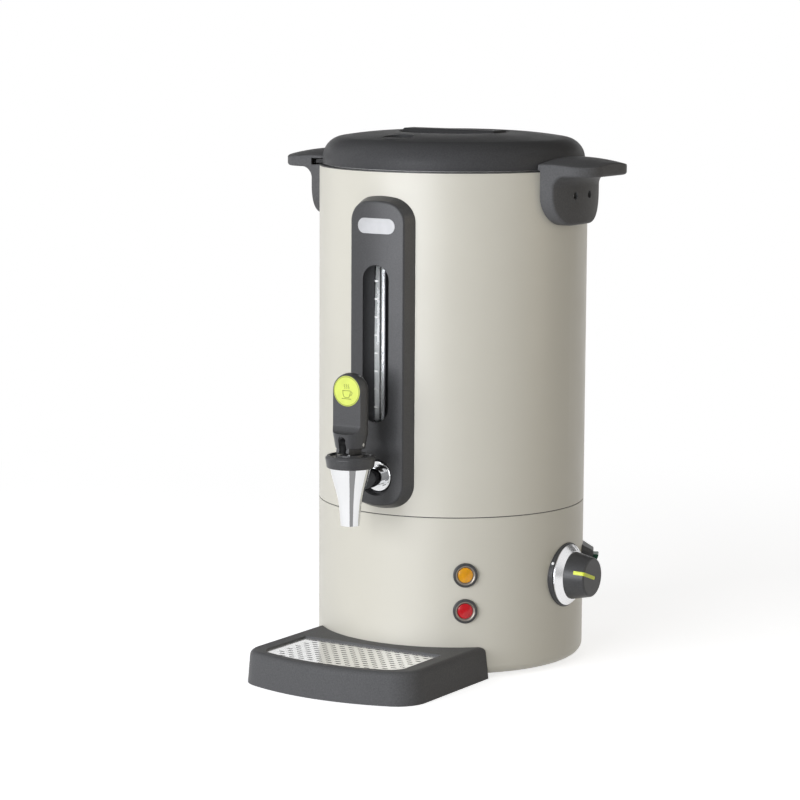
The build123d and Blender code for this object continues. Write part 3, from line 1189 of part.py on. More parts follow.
# ---- drip tray ----
def bowed_plan(half, front, corner, back, bow):
    """Outline of the tray or the grid: straight back and sides, rounded front corners, bowed front."""
    side_front = front - (bow - sqrt(bow**2 - half**2))
    sides = Polyline((half, -side_front), (half, -back), (-half, -back), (-half, -side_front))
    nose = ThreePointArc((-half, -side_front), (0, -front), (half, -side_front))
    face = make_face(sides + nose)
    for x in (-half, half):
        face = fillet(face.vertices().sort_by_distance((x, -side_front, 0))[0], corner)
    return face


def drip_tray():
    """Moulded tray whose back fits round the body: a skirt and a deck, open underneath, with a rebate
    for the grid over a basin that hangs from the deck."""
    wall = TRAY_WALL
    back = TRAY_BACK
    tray = extrude(bowed_plan(TRAY_HALF_W, TRAY_FRONT, TRAY_CORNER_R, back, TRAY_BOW_R), TRAY_H, taper=TRAY_DRAFT)
    tray -= post(BODY_R + TRAY_BACK_GAP, -1, TRAY_H + 1)
    top = tray.edges().group_by(Axis.Z)[-1]
    tray = fillet([e for e in top if hypot((e @ 0.5).X, (e @ 0.5).Y) > BODY_R + 3], TRAY_EDGE_R)
    hollow = bowed_plan(TRAY_HALF_W - wall, TRAY_FRONT - wall, TRAY_CORNER_R - wall, back - 5, TRAY_BOW_R - wall)
    inside = extrude(Pos(0, 0, -1) * hollow, TRAY_H - wall + 1, taper=TRAY_DRAFT)
    inside -= post(BODY_R + TRAY_BACK_GAP + wall, -2, TRAY_H + 1)
    tray -= fillet(inside.edges().group_by(Axis.Z)[-1], TRAY_EDGE_R - wall)
    bow = TRAY_BOW_R - (TRAY_FRONT - GRID_FRONT)
    rim = GRID_LEDGE - wall
    tub = bowed_plan(GRID_HALF_W - rim, GRID_FRONT - rim, GRID_CORNER_R - rim, GRID_BACK + rim, bow)
    shelf = bowed_plan(GRID_HALF_W + wall, GRID_FRONT + wall, GRID_CORNER_R + wall, GRID_BACK - wall, bow)
    tray += extrude(Pos(0, 0, TRAY_FLOOR_Z) * tub, TRAY_H - TRAY_FLOOR_Z - wall)
    tray += extrude(Pos(0, 0, GRID_Z - wall) * shelf, TRAY_H - GRID_Z)
    opening = bowed_plan(GRID_HALF_W + RUN, GRID_FRONT + RUN, GRID_CORNER_R + RUN, GRID_BACK - RUN, bow)
    tray -= extrude(Pos(0, 0, GRID_Z - SEAT) * opening, 20)
    ledge = GRID_LEDGE
    basin = bowed_plan(GRID_HALF_W - ledge, GRID_FRONT - ledge, GRID_CORNER_R - ledge, GRID_BACK + ledge, bow)
    return tray - extrude(Pos(0, 0, TRAY_FLOOR_Z + wall) * basin, TRAY_H)


def drip_grid():
    """Stainless grid with staggered rows of slots."""
    bow = TRAY_BOW_R - (TRAY_FRONT - GRID_FRONT)
    plan = bowed_plan(GRID_HALF_W, GRID_FRONT, GRID_CORNER_R, GRID_BACK, bow)
    step_x, step_y = GRID_PITCH
    slots = []
    rows = int((GRID_FRONT - GRID_BACK - 2 * GRID_MARGIN) / step_y)
    for row in range(rows + 1):
        y = -GRID_BACK - GRID_MARGIN - row * step_y
        shift = step_x / 2 if row % 2 else 0
        count = int((GRID_HALF_W - GRID_MARGIN) / step_x)
        for column in range(-count, count + 1):
            x = column * step_x + shift
            bow_y = -(GRID_FRONT - GRID_MARGIN - x**2 / (2 * bow))
            inside = abs(x) < GRID_HALF_W - GRID_MARGIN and y > bow_y
            corner = abs(x) > GRID_HALF_W - GRID_CORNER_R and y < -(GRID_FRONT - GRID_CORNER_R - 6)
            if inside and not corner:
                slots.append(Pos(x, y) * Rectangle(*GRID_SLOT))
    return extrude(Pos(0, 0, GRID_Z) * (plan - slots), GRID_T)


def build():
    """Write every node."""
    os.makedirs("parts", exist_ok=True)
    save("base_housing", base_housing())
    save("joint_ring", joint_ring())
    save("outer_jacket", outer_jacket())
    save("inner_tank", inner_tank())
    save("base_plate", base_plate())
    save("rubber_feet", *around(FOOT_AZS, rubber_foot()))
    save("base_screws", *around(BASE_SCREW_AZS, base_screw()))
    save("heat_plate", heat_plate())
    save("heating_element", heating_element())
    save("dry_boil_cutout", dry_boil_cutout())
    save("tank_studs", *around(STUD_AZS, tank_stud()))
    save("stud_nuts", *around(STUD_AZS, stud_nut()))
    save("terminal_block", terminal_block())
    save("cable_gland", cable_gland())
    save("gland_nut", gland_nut())
    save("lamp_bezels", *[lamp_bezel(z) for z in LAMP_ZS])
    save("lamp_lens_amber", lamp_lens(LAMP_ZS[0]))
    save("lamp_lens_red", lamp_lens(LAMP_ZS[1]))
    save("lamp_nuts", *[lamp_nut(z) for z in LAMP_ZS])
    save("thermostat_bracket", thermostat_bracket())
    save("thermostat_body", thermostat_body())
    save("thermostat_screws", *thermostat_screws())
    save("thermostat_shaft", thermostat_shaft())
    save("knob_bezel", knob_bezel())
    save("knob_dial", knob_dial())
    save("knob_cap", knob_cap())
    save("knob_pointer", knob_pointer())
    save("switch_pod", switch_pod())
    save("switch_body", switch_body())
    save("switch_rocker", switch_rocker())
    save("front_panel", front_panel())
    save("badge_plate", badge_plate())
    save("panel_screws", *panel_screws())
    save("sight_tube", sight_tube())
    save("gauge_fittings", gauge_fitting(TUBE_LOW, 1), gauge_fitting(TUBE_HIGH, -1))
    spigots = (TUBE_LOW - SPIGOT_DROP, TUBE_HIGH + SPIGOT_DROP)
    save("gauge_seals", *[gauge_seal(z) for z in spigots])
    save("gauge_nuts", *[gauge_nut(z) for z in spigots])
    save("tap_body", tap_body())
    save("tap_escutcheon", tap_escutcheon())
    save("tap_washers", *tap_washers())
    save("tap_lock_nut", tap_lock_nut())
    save("tap_bonnet", tap_bonnet())
    save("tap_stem", tap_stem())
    save("tap_seat_cup", tap_seat_cup())
    save("tap_spring", tap_spring())
    save("tap_lever", tap_lever())
    save("lever_pin", lever_pin())
    save("lever_badge", lever_badge())
    save("handle_right", turn_to(90, handle()))
    save("handle_left", turn_to(270, handle()))
    save("handle_screws", *handle_screws())
    save("handle_nuts", *handle_nuts())
    save("lid_cover", lid_cover())
    save("lid_grip", lid_grip())
    save("steam_vent", steam_vent())
    save("lid_liner", lid_liner())
    save("lid_gasket", lid_gasket())
    save("lid_screws", *lid_screws())
    save("drip_tray", drip_tray())
    save("drip_grid", drip_grid())


build()
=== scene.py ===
import bpy
import bmesh
import json
import math
from mathutils import Matrix, Vector


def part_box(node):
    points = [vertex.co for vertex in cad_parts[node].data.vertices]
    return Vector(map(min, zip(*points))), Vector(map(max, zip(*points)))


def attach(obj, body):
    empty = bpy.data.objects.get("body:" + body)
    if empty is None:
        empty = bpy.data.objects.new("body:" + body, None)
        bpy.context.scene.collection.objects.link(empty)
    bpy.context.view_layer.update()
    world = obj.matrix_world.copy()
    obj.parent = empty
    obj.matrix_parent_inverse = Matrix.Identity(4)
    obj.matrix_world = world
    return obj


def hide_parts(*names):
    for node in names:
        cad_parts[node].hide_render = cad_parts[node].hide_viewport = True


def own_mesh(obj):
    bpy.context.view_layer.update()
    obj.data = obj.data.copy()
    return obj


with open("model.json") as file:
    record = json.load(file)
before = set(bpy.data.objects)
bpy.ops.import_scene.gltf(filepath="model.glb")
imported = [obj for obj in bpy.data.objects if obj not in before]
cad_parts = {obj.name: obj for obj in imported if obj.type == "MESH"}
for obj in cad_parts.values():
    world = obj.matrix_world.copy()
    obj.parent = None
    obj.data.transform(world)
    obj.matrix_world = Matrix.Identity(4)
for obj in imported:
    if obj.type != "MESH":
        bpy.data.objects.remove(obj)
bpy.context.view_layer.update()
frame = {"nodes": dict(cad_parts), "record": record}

# Lengths are in metres and angles in degrees, unless a comment says otherwise.
# Azimuths run from the front (-Y) towards +X.
MM = 0.001


# ------------------------------------------------------------------ camera
CAMERA_AZIMUTH = 30.7
CAMERA_DISTANCE = 2.486     # from the urn's axis
CAMERA_HEIGHT = 0.5636
CAMERA_PITCH = 7.948        # downwards
CAMERA_YAW = 1.021          # away from the urn's axis
CAMERA_ROLL = 0.3
FOCAL_PIXELS = 2945.4
PHOTO_PIXELS = 800
SENSOR_MM = 36


def camera():
    azimuth, pitch = math.radians(CAMERA_AZIMUTH), math.radians(CAMERA_PITCH)
    yaw, roll = math.radians(CAMERA_YAW), math.radians(CAMERA_ROLL)
    place = Vector((
        math.sin(azimuth) * CAMERA_DISTANCE,
        -math.cos(azimuth) * CAMERA_DISTANCE,
        CAMERA_HEIGHT,
    ))
    turn = azimuth + yaw
    ahead = Vector((
        -math.sin(turn) * math.cos(pitch),
        math.cos(turn) * math.cos(pitch),
        -math.sin(pitch),
    ))
    level = Vector((math.cos(turn), math.sin(turn), 0))
    square = level.cross(ahead)
    right = math.cos(roll) * level + math.sin(roll) * square
    up = -math.sin(roll) * level + math.cos(roll) * square
    data = bpy.data.cameras.new("camera")
    data.sensor_width = SENSOR_MM
    data.lens = FOCAL_PIXELS / PHOTO_PIXELS * SENSOR_MM
    data.clip_start, data.clip_end = 0.05, 60
    cam = bpy.data.objects.new("camera", data)
    bpy.context.scene.collection.objects.link(cam)
    cam.matrix_world = Matrix((
        (right.x, up.x, -ahead.x, place.x),
        (right.y, up.y, -ahead.y, place.y),
        (right.z, up.z, -ahead.z, place.z),
        (0, 0, 0, 1),
    ))
    bpy.context.scene.camera = cam


# ------------------------------------------------------------------ materials
def tone(colour, factor):
    return tuple(c * factor for c in colour)


class Nodes:
    """Small helper that builds one node material."""

    def __init__(self, name):
        self.mat = bpy.data.materials.new(name)
        self.mat.use_nodes = True
        self.tree = self.mat.node_tree
        self.tree.nodes.clear()
        out = self.tree.nodes.new("ShaderNodeOutputMaterial")
        self.bsdf = self.tree.nodes.new("ShaderNodeBsdfPrincipled")
        self.link(self.bsdf.outputs[0], out.inputs["Surface"])
        places = self.tree.nodes.new("ShaderNodeTexCoord").outputs
        self.coords, self.face = places["Object"], places["Normal"]

    def link(self, a, b):
        self.tree.links.new(a, b)

    def set(self, **values):
        """Plain numbers on the shader's own sockets, with _ for a space in a name."""
        for key, value in values.items():
            self.bsdf.inputs[key.replace("_", " ")].default_value = value

    def colour(self, socket):
        self.link(socket, self.bsdf.inputs["Base Color"])

    def rough(self, socket):
        self.link(socket, self.bsdf.inputs["Roughness"])

    def normal(self, socket):
        self.link(socket, self.bsdf.inputs["Normal"])

    def stretched(self, scale):
        node = self.tree.nodes.new("ShaderNodeMapping")
        node.inputs["Scale"].default_value = scale
        self.link(self.coords, node.inputs["Vector"])
        return node.outputs[0]

    def height(self, socket):
        """The Z part of a vector."""
        node = self.tree.nodes.new("ShaderNodeSeparateXYZ")
        self.link(socket, node.inputs[0])
        return node.outputs["Z"]

    def noise(self, scale, detail=2.0, roughness=0.5, coords=None):
        node = self.tree.nodes.new("ShaderNodeTexNoise")
        node.inputs["Scale"].default_value = scale
        node.inputs["Detail"].default_value = detail
        node.inputs["Roughness"].default_value = roughness
        self.link(coords or self.coords, node.inputs["Vector"])
        return node.outputs["Fac"]

    def between(self, value, low, high, from_low=0.3, from_high=0.7):
        node = self.tree.nodes.new("ShaderNodeMapRange")
        node.inputs["From Min"].default_value = from_low
        node.inputs["From Max"].default_value = from_high
        node.inputs["To Min"].default_value = low
        node.inputs["To Max"].default_value = high
        self.link(value, node.inputs["Value"])
        return node.outputs[0]

    def mix(self, value, first, second):
        """From first, where value is 0, to second. Each is a colour or a socket."""
        node = self.tree.nodes.new("ShaderNodeMix")
        node.data_type = "RGBA"
        self.link(value, node.inputs["Factor"])
        ends = [socket for socket in node.inputs if socket.type == "RGBA"]
        for end, pick in zip(ends, (first, second)):
            if isinstance(pick, tuple):
                end.default_value = (*pick, 1)
            else:
                self.link(pick, end)
        return [socket for socket in node.outputs if socket.type == "RGBA"][0]

    def bump(self, height, distance, strength=1.0, normal=None):
        node = self.tree.nodes.new("ShaderNodeBump")
        node.inputs["Distance"].default_value = distance
        node.inputs["Strength"].default_value = strength
        self.link(height, node.inputs["Height"])
        if normal:
            self.link(normal, node.inputs["Normal"])
        return node.outputs[0]

    def vary_colour(self, base, low, high, scale, detail):
        """Base colour that drifts between two tones of itself."""
        drift = self.between(self.noise(scale, detail), 0, 1)
        self.colour(self.mix(drift, tone(base, low), tone(base, high)))

    def vary_rough(self, low, high, scale, detail):
        self.rough(self.between(self.noise(scale, detail), low, high))


def paint():
    """Satin stove enamel with a fine orange peel."""
    n = Nodes("satin_paint")
    n.vary_colour((0.60, 0.577, 0.495), 0.985, 1.015, scale=6, detail=3)
    n.vary_rough(0.36, 0.44, scale=40, detail=4)
    n.set(Metallic=0.0, Specular_IOR_Level=0.5, Coat_Weight=0.12, Coat_Roughness=0.35)
    fine = n.bump(n.noise(1500, 2), 0.00003, 0.25)
    n.normal(n.bump(n.noise(420, 2), 0.00004, 0.25, fine))
    return n.mat


def plastic(name, base, low, high, specular, grain=1.0):
    """Moulded plastic with a spark-eroded grain."""
    n = Nodes(name)
    n.vary_colour(base, 0.88, 1.12, scale=900, detail=3)
    n.vary_rough(low, high, scale=25, detail=4)
    n.set(Specular_IOR_Level=specular)
    fine = n.bump(n.noise(2600, 2), 0.00008, 0.5 * grain)
    n.normal(n.bump(n.noise(1300, 3), 0.0001, 0.4 * grain, fine))
    return n.mat


def chrome():
    n = Nodes("chrome")
    drift = n.between(n.noise(30, 3), 0, 1)
    n.colour(n.mix(drift, (0.74, 0.75, 0.76), (0.80, 0.805, 0.81)))
    n.vary_rough(0.035, 0.085, scale=60, detail=5)
    n.set(Metallic=1.0)
    n.normal(n.bump(n.noise(110, 2), 0.00003, 0.3))
    return n.mat


def steel_sheet():
    """Brushed sheet steel."""
    n = Nodes("steel_sheet")
    base = (0.5, 0.5, 0.49)
    lines = n.noise(1.0, 5, 0.6, n.stretched((20, 600, 20)))
    n.colour(n.mix(n.between(lines, 0, 1), tone(base, 0.9), tone(base, 1.06)))
    n.rough(n.between(lines, 0.22, 0.36))
    n.set(Metallic=1.0)
    n.normal(n.bump(lines, 0.00002, 0.5))
    return n.mat


def grid_steel():
    """Bright brushed sheet whose punched holes have walls painted dark grey: painted shade in the
    holes.
    """
    n = Nodes("grid_steel")
    lines = n.noise(1.0, 5, 0.6, n.stretched((500, 12, 30)))
    sheet = n.mix(n.between(lines, 0, 1), (0.96, 0.96, 0.955), (1.0, 1.0, 0.995))
    # painted shade: faces that are not flat upward tops, such as the hole walls, turn dark grey
    flat = n.between(n.height(n.face), 0, 1, 0.3, 0.7)
    n.colour(n.mix(flat, (0.3, 0.3, 0.3), sheet))
    n.rough(n.between(lines, 0.11, 0.17))
    n.set(Metallic=0.75)
    n.normal(n.bump(lines, 0.00002, 0.5))
    return n.mat


RIM_SHADE_FADE = (0.4135, 0.4145)     # heights between which the tank's rim fades to a painted shade


def tank_steel():
    """Brushed steel; the rolled rim that shows under the lid is rougher and painted near black,
    as painted shade under the lid.
    """
    n = Nodes("tank_steel")
    lines = n.noise(1.0, 5, 0.6, n.stretched((20, 20, 700)))
    # painted shade: above these heights the rim under the lid turns near black
    rim = n.between(n.height(n.coords), 0, 1, *RIM_SHADE_FADE)
    bright = n.mix(n.between(lines, 0, 1), (0.66, 0.66, 0.65), (0.76, 0.76, 0.75))
    n.colour(n.mix(rim, bright, (0.09, 0.09, 0.088)))
    n.rough(n.between(rim, 0.34, 0.6, 0, 1))
    n.set(Metallic=0.6)
    n.normal(n.bump(lines, 0.00002, 0.4))
    return n.mat


def simple(name, base, rough, metallic=0.0):
    """Plain small part: slight drift in colour and gloss, and a fine grain."""
    n = Nodes(name)
    n.vary_colour(base, 0.94, 1.05, scale=120, detail=3)
    n.vary_rough(rough * 0.85, rough * 1.15, scale=50, detail=3)
    n.set(Metallic=metallic)
    n.normal(n.bump(n.noise(900, 2), 0.00003, 0.3))
    return n.mat


def satin(name, base, rough, metallic):
    """Even satin metal without a grain."""
    n = Nodes(name)
    n.vary_colour(base, 0.97, 1.03, scale=30, detail=2)
    n.vary_rough(rough * 0.95, rough * 1.05, scale=20, detail=2)
    n.set(Metallic=metallic)
    return n.mat


def glass():
    n = Nodes("gauge_glass")
    n.colour(n.mix(n.between(n.noise(60, 2), 0, 1), (0.96, 0.98, 0.97), (1.0, 1.0, 1.0)))
    n.set(Transmission_Weight=1.0, IOR=1.45)
    n.vary_rough(0.0, 0.02, scale=40, detail=2)
    return n.mat


def lens(name, base):
    """Half-clear coloured lamp lens."""
    n = Nodes(name)
    n.vary_colour(base, 0.9, 1.1, scale=160, detail=2)
    n.vary_rough(0.08, 0.14, scale=80, detail=2)
    n.set(Transmission_Weight=0.35, IOR=1.49, Specular_IOR_Level=0.5)
    return n.mat


SLOT_LOOKS = {
    "shell_paint": "paint", "stainless": "steel_sheet", "zinc_steel": "steel",
    "chrome": "chrome", "aluminium": "steel", "dial_metal": "dial",
    "black_plastic": "plastic", "rubber": "rubber", "silicone": "silicone",
    "glass": "glass", "lens_amber": "amber", "lens_red": "red", "lime": "lime",
    "rocker_green": "green", "inner_plastic": "inner",
}
NODE_LOOKS = {      # nodes with a look of their own within their slot
    "badge_plate": "badge", "drip_grid": "grid", "drip_tray": "tray",
    "lid_cover": "lid", "lid_grip": "lid", "steam_vent": "lid",
    "handle_left": "handle", "handle_right": "handle", "inner_tank": "tank",
    "knob_pointer": "pointer",
}


def materials():
    """Make every material and give the CAD nodes theirs."""
    looks = {
        "paint": paint(),
        "plastic": plastic("moulded_plastic", (0.055, 0.055, 0.056), 0.30, 0.38, 0.30, 0.6),
        "lid": plastic("lid_plastic", (0.060, 0.060, 0.061), 0.34, 0.42, 0.07),
        # painted light: the handles' plastic is a lighter copy of the black plastic, lifting the
        # shade under the grips
        "handle": plastic("handle_plastic", (0.105, 0.105, 0.106), 0.38, 0.46, 0.06),
        "tray": plastic("tray_plastic", (0.104, 0.104, 0.105), 0.38, 0.46, 0.05),
        "chrome": chrome(),
        "steel_sheet": steel_sheet(),
        "grid": grid_steel(),
        "tank": tank_steel(),
        # white backing stripe of the tube, made bright partly as a painted highlight of the glass
        "reflector": satin("tube_reflector", (0.80, 0.81, 0.82), 0.42, 0.3),
        "print": simple("white_print", (0.92, 0.92, 0.9), 0.5),
        "ink": simple("grey_print", (0.16, 0.19, 0.03), 0.5),
        "lamp_ring": simple("lamp_ring", (0.26, 0.235, 0.20), 0.34, 0.6),
        "steel": simple("steel", (0.6, 0.6, 0.59), 0.3, 1.0),
        "dial": satin("dial_metal", (0.80, 0.80, 0.81), 0.24, 0.9),
        "rubber": simple("rubber", (0.02, 0.02, 0.02), 0.7),
        "silicone": simple("silicone", (0.75, 0.75, 0.72), 0.45),
        "glass": glass(),
        "amber": lens("lens_amber", (1.0, 0.46, 0.004)),
        "red": lens("lens_red", (0.74, 0.003, 0.012)),
        "lime": simple("lime", (0.61, 0.69, 0.10), 0.4),
        # a stronger tint of the badge's lime, and brighter as painted light against the shade on
        # the knob's chamfered face
        "pointer": simple("pointer_lime", (0.74, 0.82, 0.05), 0.4),
        "green": simple("rocker_green", (0.004, 0.075, 0.035), 0.25),
        "inner": simple("inner_plastic", (0.7, 0.66, 0.58), 0.5),
        "badge": simple("badge_metal", (0.45, 0.45, 0.45), 0.5, 0.2),
    }
    for part in frame["record"]["subparts"]:
        pick = NODE_LOOKS.get(part["node"], SLOT_LOOKS[part["material_slot"]])
        mesh = frame["nodes"][part["node"]].data
        mesh.materials.clear()
        mesh.materials.append(looks[pick])
    return looks


# ------------------------------------------------------------------ stage
def add_object(name, data):
    obj = bpy.data.objects.new(name, data)
    bpy.context.scene.collection.objects.link(obj)
    return obj


def around(azimuth, distance, height, centre=(0.0, 0.0)):
    a = math.radians(azimuth)
    return (centre[0] + math.sin(a) * distance, centre[1] - math.cos(a) * distance, height)


def area(name, place, target, size, watts, colour=(1, 1, 1)):
    data = bpy.data.lights.new(name, "AREA")
    data.shape = "RECTANGLE"
    data.size, data.size_y = size
    data.energy = watts
    data.color = colour
    lamp = add_object(name, data)
    lamp.location = place
    aim = Vector(target) - Vector(place)
    lamp.rotation_euler = aim.to_track_quat("-Z", "Y").to_euler()


def maths(tree, operation, first, second):
    """A Math node; second is a socket or a plain number."""
    node = tree.nodes.new("ShaderNodeMath")
    node.operation = operation
    tree.links.new(first, node.inputs[0])
    if isinstance(second, float):
        node.inputs[1].default_value = second
    else:
        tree.links.new(second, node.inputs[1])
    return node.outputs[0]


def seen_ray(tree):
    """1 for the rays that show the background: camera, glossy and transmission rays."""
    path = tree.nodes.new("ShaderNodeLightPath").outputs
    seen = maths(tree, "MAXIMUM", path["Is Camera Ray"], path["Is Glossy Ray"])
    return maths(tree, "MAXIMUM", seen, path["Is Transmission Ray"])


def white_world(strength):
    """Soft even light of one strength, and plain white where the background shows."""
    world = bpy.data.worlds.new("studio")
    bpy.context.scene.world = world
    world.use_nodes = True
    tree = world.node_tree
    tree.nodes.clear()
    out = tree.nodes.new("ShaderNodeOutputWorld")
    mix = tree.nodes.new("ShaderNodeMixShader")
    for slot, power in ((1, strength), (2, 1.0)):
        glow = tree.nodes.new("ShaderNodeBackground")
        glow.inputs["Color"].default_value = (1, 1, 1, 1)
        glow.inputs["Strength"].default_value = power
        tree.links.new(glow.outputs[0], mix.inputs[slot])
    tree.links.new(seen_ray(tree), mix.inputs[0])
    tree.links.new(mix.outputs[0], out.inputs["Surface"])


def new_tree(name, mesh):
    """Empty node material on a stage mesh, with its output node."""
    mat = bpy.data.materials.new(name)
    mat.use_nodes = True
    mesh.materials.append(mat)
    mat.node_tree.nodes.clear()
    return mat.node_tree, mat.node_tree.nodes.new("ShaderNodeOutputMaterial")


def white_glow(tree):
    glow = tree.nodes.new("ShaderNodeEmission")
    glow.inputs["Color"].default_value = (1, 1, 1, 1)
    return glow


FLOOR_RADIUS = 9
FLOOR_Z = -0.0002


def floor(near, far, lift):
    """A pale floor, lifted towards white, that fades into the background between near and far."""
    mesh = bpy.data.meshes.new("floor")
    bm = bmesh.new()
    bmesh.ops.create_circle(bm, cap_ends=True, cap_tris=False, segments=96, radius=FLOOR_RADIUS)
    bm.to_mesh(mesh)
    bm.free()
    disc = add_object("floor", mesh)
    disc.location.z = FLOOR_Z
    tree, out = new_tree("floor", mesh)
    matt = tree.nodes.new("ShaderNodeBsdfDiffuse")
    matt.inputs["Color"].default_value = (0.8, 0.8, 0.8, 1)
    glow = white_glow(tree)
    tree.links.new(maths(tree, "MULTIPLY", seen_ray(tree), lift), glow.inputs["Strength"])
    near_look = tree.nodes.new("ShaderNodeAddShader")
    tree.links.new(matt.outputs[0], near_look.inputs[0])
    tree.links.new(glow.outputs[0], near_look.inputs[1])
    places = tree.nodes.new("ShaderNodeTexCoord").outputs
    length = tree.nodes.new("ShaderNodeVectorMath")
    length.operation = "LENGTH"
    tree.links.new(places["Object"], length.inputs[0])
    fade = tree.nodes.new("ShaderNodeMapRange")
    fade.interpolation_type = "SMOOTHSTEP"
    fade.inputs["From Min"].default_value = near
    fade.inputs["From Max"].default_value = far
    tree.links.new(length.outputs["Value"], fade.inputs["Value"])
    mix = tree.nodes.new("ShaderNodeMixShader")
    tree.links.new(maths(tree, "MULTIPLY", fade.outputs[0], seen_ray(tree)), mix.inputs[0])
    tree.links.new(near_look.outputs[0], mix.inputs[1])
    tree.links.new(white_glow(tree).outputs[0], mix.inputs[2])
    tree.links.new(mix.outputs[0], out.inputs["Surface"])


def dark_card(name, rows, glow):
    """Studio flag, skinned between two rows of points, that only reflections show."""
    mesh = bpy.data.meshes.new(name)
    bm = bmesh.new()
    one, two = [[bm.verts.new(p) for p in row] for row in rows]
    for i in range(len(one) - 1):
        bm.faces.new((one[i], one[i + 1], two[i + 1], two[i]))
    bm.to_mesh(mesh)
    bm.free()
    card = add_object(name, mesh)
    tree, out = new_tree(name, mesh)
    shade = white_glow(tree)
    shade.inputs["Strength"].default_value = glow
    tree.links.new(shade.outputs[0], out.inputs["Surface"])
    card.visible_camera = False
    card.visible_diffuse = False
    card.visible_transmission = False
    card.visible_shadow = False


def spread(ends, steps):
    return [ends[0] + (ends[1] - ends[0]) * i / steps for i in range(steps + 1)]


def wall_flag(name, azimuths, distance, heights, glow):
    rows = [[around(az, distance, z) for az in spread(azimuths, 12)] for z in heights]
    dark_card(name, rows, glow)


def ceiling_flag(name, height, radius, glow):
    """Half a disc in each row, so that the two rows meet to a full disc."""
    front = [around(az, radius, height) for az in spread((-90, 90), 24)]
    back = [around(-az, radius, height) for az in spread((90, 270), 24)]
    dark_card(name, (front, back), glow)


def floor_flag(name, foot, azimuths, near, far, glow):
    rows = [[around(az, r, 0.0002, foot) for az in spread(azimuths, 2)] for r in (near, far)]
    dark_card(name, rows, glow)


FRONT_AIM, FILL_AIM = (0, 0, 0.22), (0, 0, 0.2)      # points that the lamps look at


def stage():
    white_world(0.21)
    floor(near=0.45, far=1.1, lift=0.7)
    wall_flag("flag_right", (26, 66), 3.2, (0.0, 2.6), glow=0.4)
    wall_flag("flag_back_low", (150, 265), 3.4, (0.40, 0.68), glow=0.04)
    wall_flag("flag_back_high", (150, 265), 3.4, (1.2, 5.5), glow=0.12)
    ceiling_flag("flag_top", 2.5, 1.3, glow=0.25)
    floor_flag("flag_low", (0.0, -0.16), (26, 66), 0.12, 3.0, glow=0.36)
    area("key", around(-6, 2.1, 0.52), FRONT_AIM, (1.7, 1.02), 40.5, (0.965, 0.985, 1.04))
    area("left", around(-80, 1.8, 0.7), FRONT_AIM, (0.9, 1.4), 2.5)
    area("top", (-0.3, -0.3, 2.3), FILL_AIM, (2.0, 2.0), 2)
    area("right", around(105, 2.2, 0.6), FILL_AIM, (0.8, 1.2), 5, (1, 0.84, 0.6))
    bpy.context.scene.view_settings.view_transform = "Standard"


# ------------------------------------------------------------------ pieces
def piece(name, bm, body, look):
    bmesh.ops.recalc_face_normals(bm, faces=bm.faces)
    mesh = bpy.data.meshes.new(name)
    bm.to_mesh(mesh)
    bm.free()
    for face in mesh.polygons:
        face.use_smooth = True
    obj = add_object(name, mesh)
    mesh.materials.append(made[look])
    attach(obj, body)
    return obj


def turns(count):
    return [2 * math.pi * i / count for i in range(count)]


def closed_sweep(bm, rings, loop=False):
    """Skin through rings of points, as one closed shell."""
    rows = [[bm.verts.new(p) for p in ring] for ring in rings]
    pairs = list(zip(rows, rows[1:]))
    if loop:
        pairs.append((rows[-1], rows[0]))
    for one, two in pairs:
        count = len(one)
        for i in range(count):
            j = (i + 1) % count
            bm.faces.new((one[i], one[j], two[j], two[i]))
    if not loop:
        bm.faces.new(rows[0])
        bm.faces.new(list(reversed(rows[-1])))


def arc_band(bm, centre, radii, azimuths, heights, steps):
    """Upright curved strip about a vertical axis."""
    (inner, outer), (low, high) = radii, heights
    corners = ((inner, low), (outer, low), (outer, high), (inner, high))
    closed_sweep(bm, [[around(az, r, z, centre) for r, z in corners]
                      for az in spread(azimuths, steps)])


# The gauge tube stands in the arched channel of the front panel.
TUBE_AT = (0.0, -0.116)
TUBE_R = 0.0045
TUBE_END_R = 0.004
TUBE_CHAMFER = 0.0005
CHANNEL = (0.2125, 0.3415)
BACKING_RADII = (TUBE_R + 0.00006, TUBE_R + 0.00030)
# the narrow gap between the two arcs is a painted dark line, and the strip beside it a painted
# highlight of the glass
BACKING_ARCS = ((80, 206.5), (213, 280))
BACKING_MARGIN = 0.0012
TICK_RADII = (TUBE_R + 0.00002, TUBE_R + 0.00010)
TICK_ARC = (-38, 16)
TICK_HALF = 0.0006
TICK_FIRST, TICK_STEP, TICK_COUNT = 0.2249, 0.01478, 8


def gauge():
    """The full tube as one rod of glass and water, its bright backing strips and its scale; the
    gap between the strips paints the glass's dark line and highlight.
    """
    low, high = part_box("sight_tube")[0][2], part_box("sight_tube")[1][2]
    profile = ((TUBE_END_R, low), (TUBE_R, low + TUBE_CHAMFER),
               (TUBE_R, high - TUBE_CHAMFER), (TUBE_END_R, high))
    bm = bmesh.new()
    closed_sweep(bm, [[(TUBE_AT[0] + r * math.cos(t), TUBE_AT[1] + r * math.sin(t), z)
                       for t in turns(64)] for r, z in profile])
    full = piece("full_tube", bm, "urn", "glass")
    for face in full.data.polygons:
        face.use_smooth = abs(face.normal.z) < 0.5
    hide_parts("sight_tube")
    strip = (CHANNEL[0] + BACKING_MARGIN, CHANNEL[1] - BACKING_MARGIN)
    bm = bmesh.new()
    for arc in BACKING_ARCS:
        arc_band(bm, TUBE_AT, BACKING_RADII, arc, strip, 20)
    piece("tube_backing", bm, "urn", "reflector")
    bm = bmesh.new()
    for i in range(TICK_COUNT):
        z = TICK_FIRST + i * TICK_STEP
        arc_band(bm, TUBE_AT, TICK_RADII, TICK_ARC, (z - TICK_HALF, z + TICK_HALF), 8)
    piece("gauge_ticks", bm, "urn", "print")


SPRING_LOW, SPRING_HIGH = 0.17415, 0.18665
SPRING_R, WIRE_R = 0.0076, 0.0007
SPRING_TURNS, STEPS_PER_TURN = 4, 24
TAP_Y = -0.16


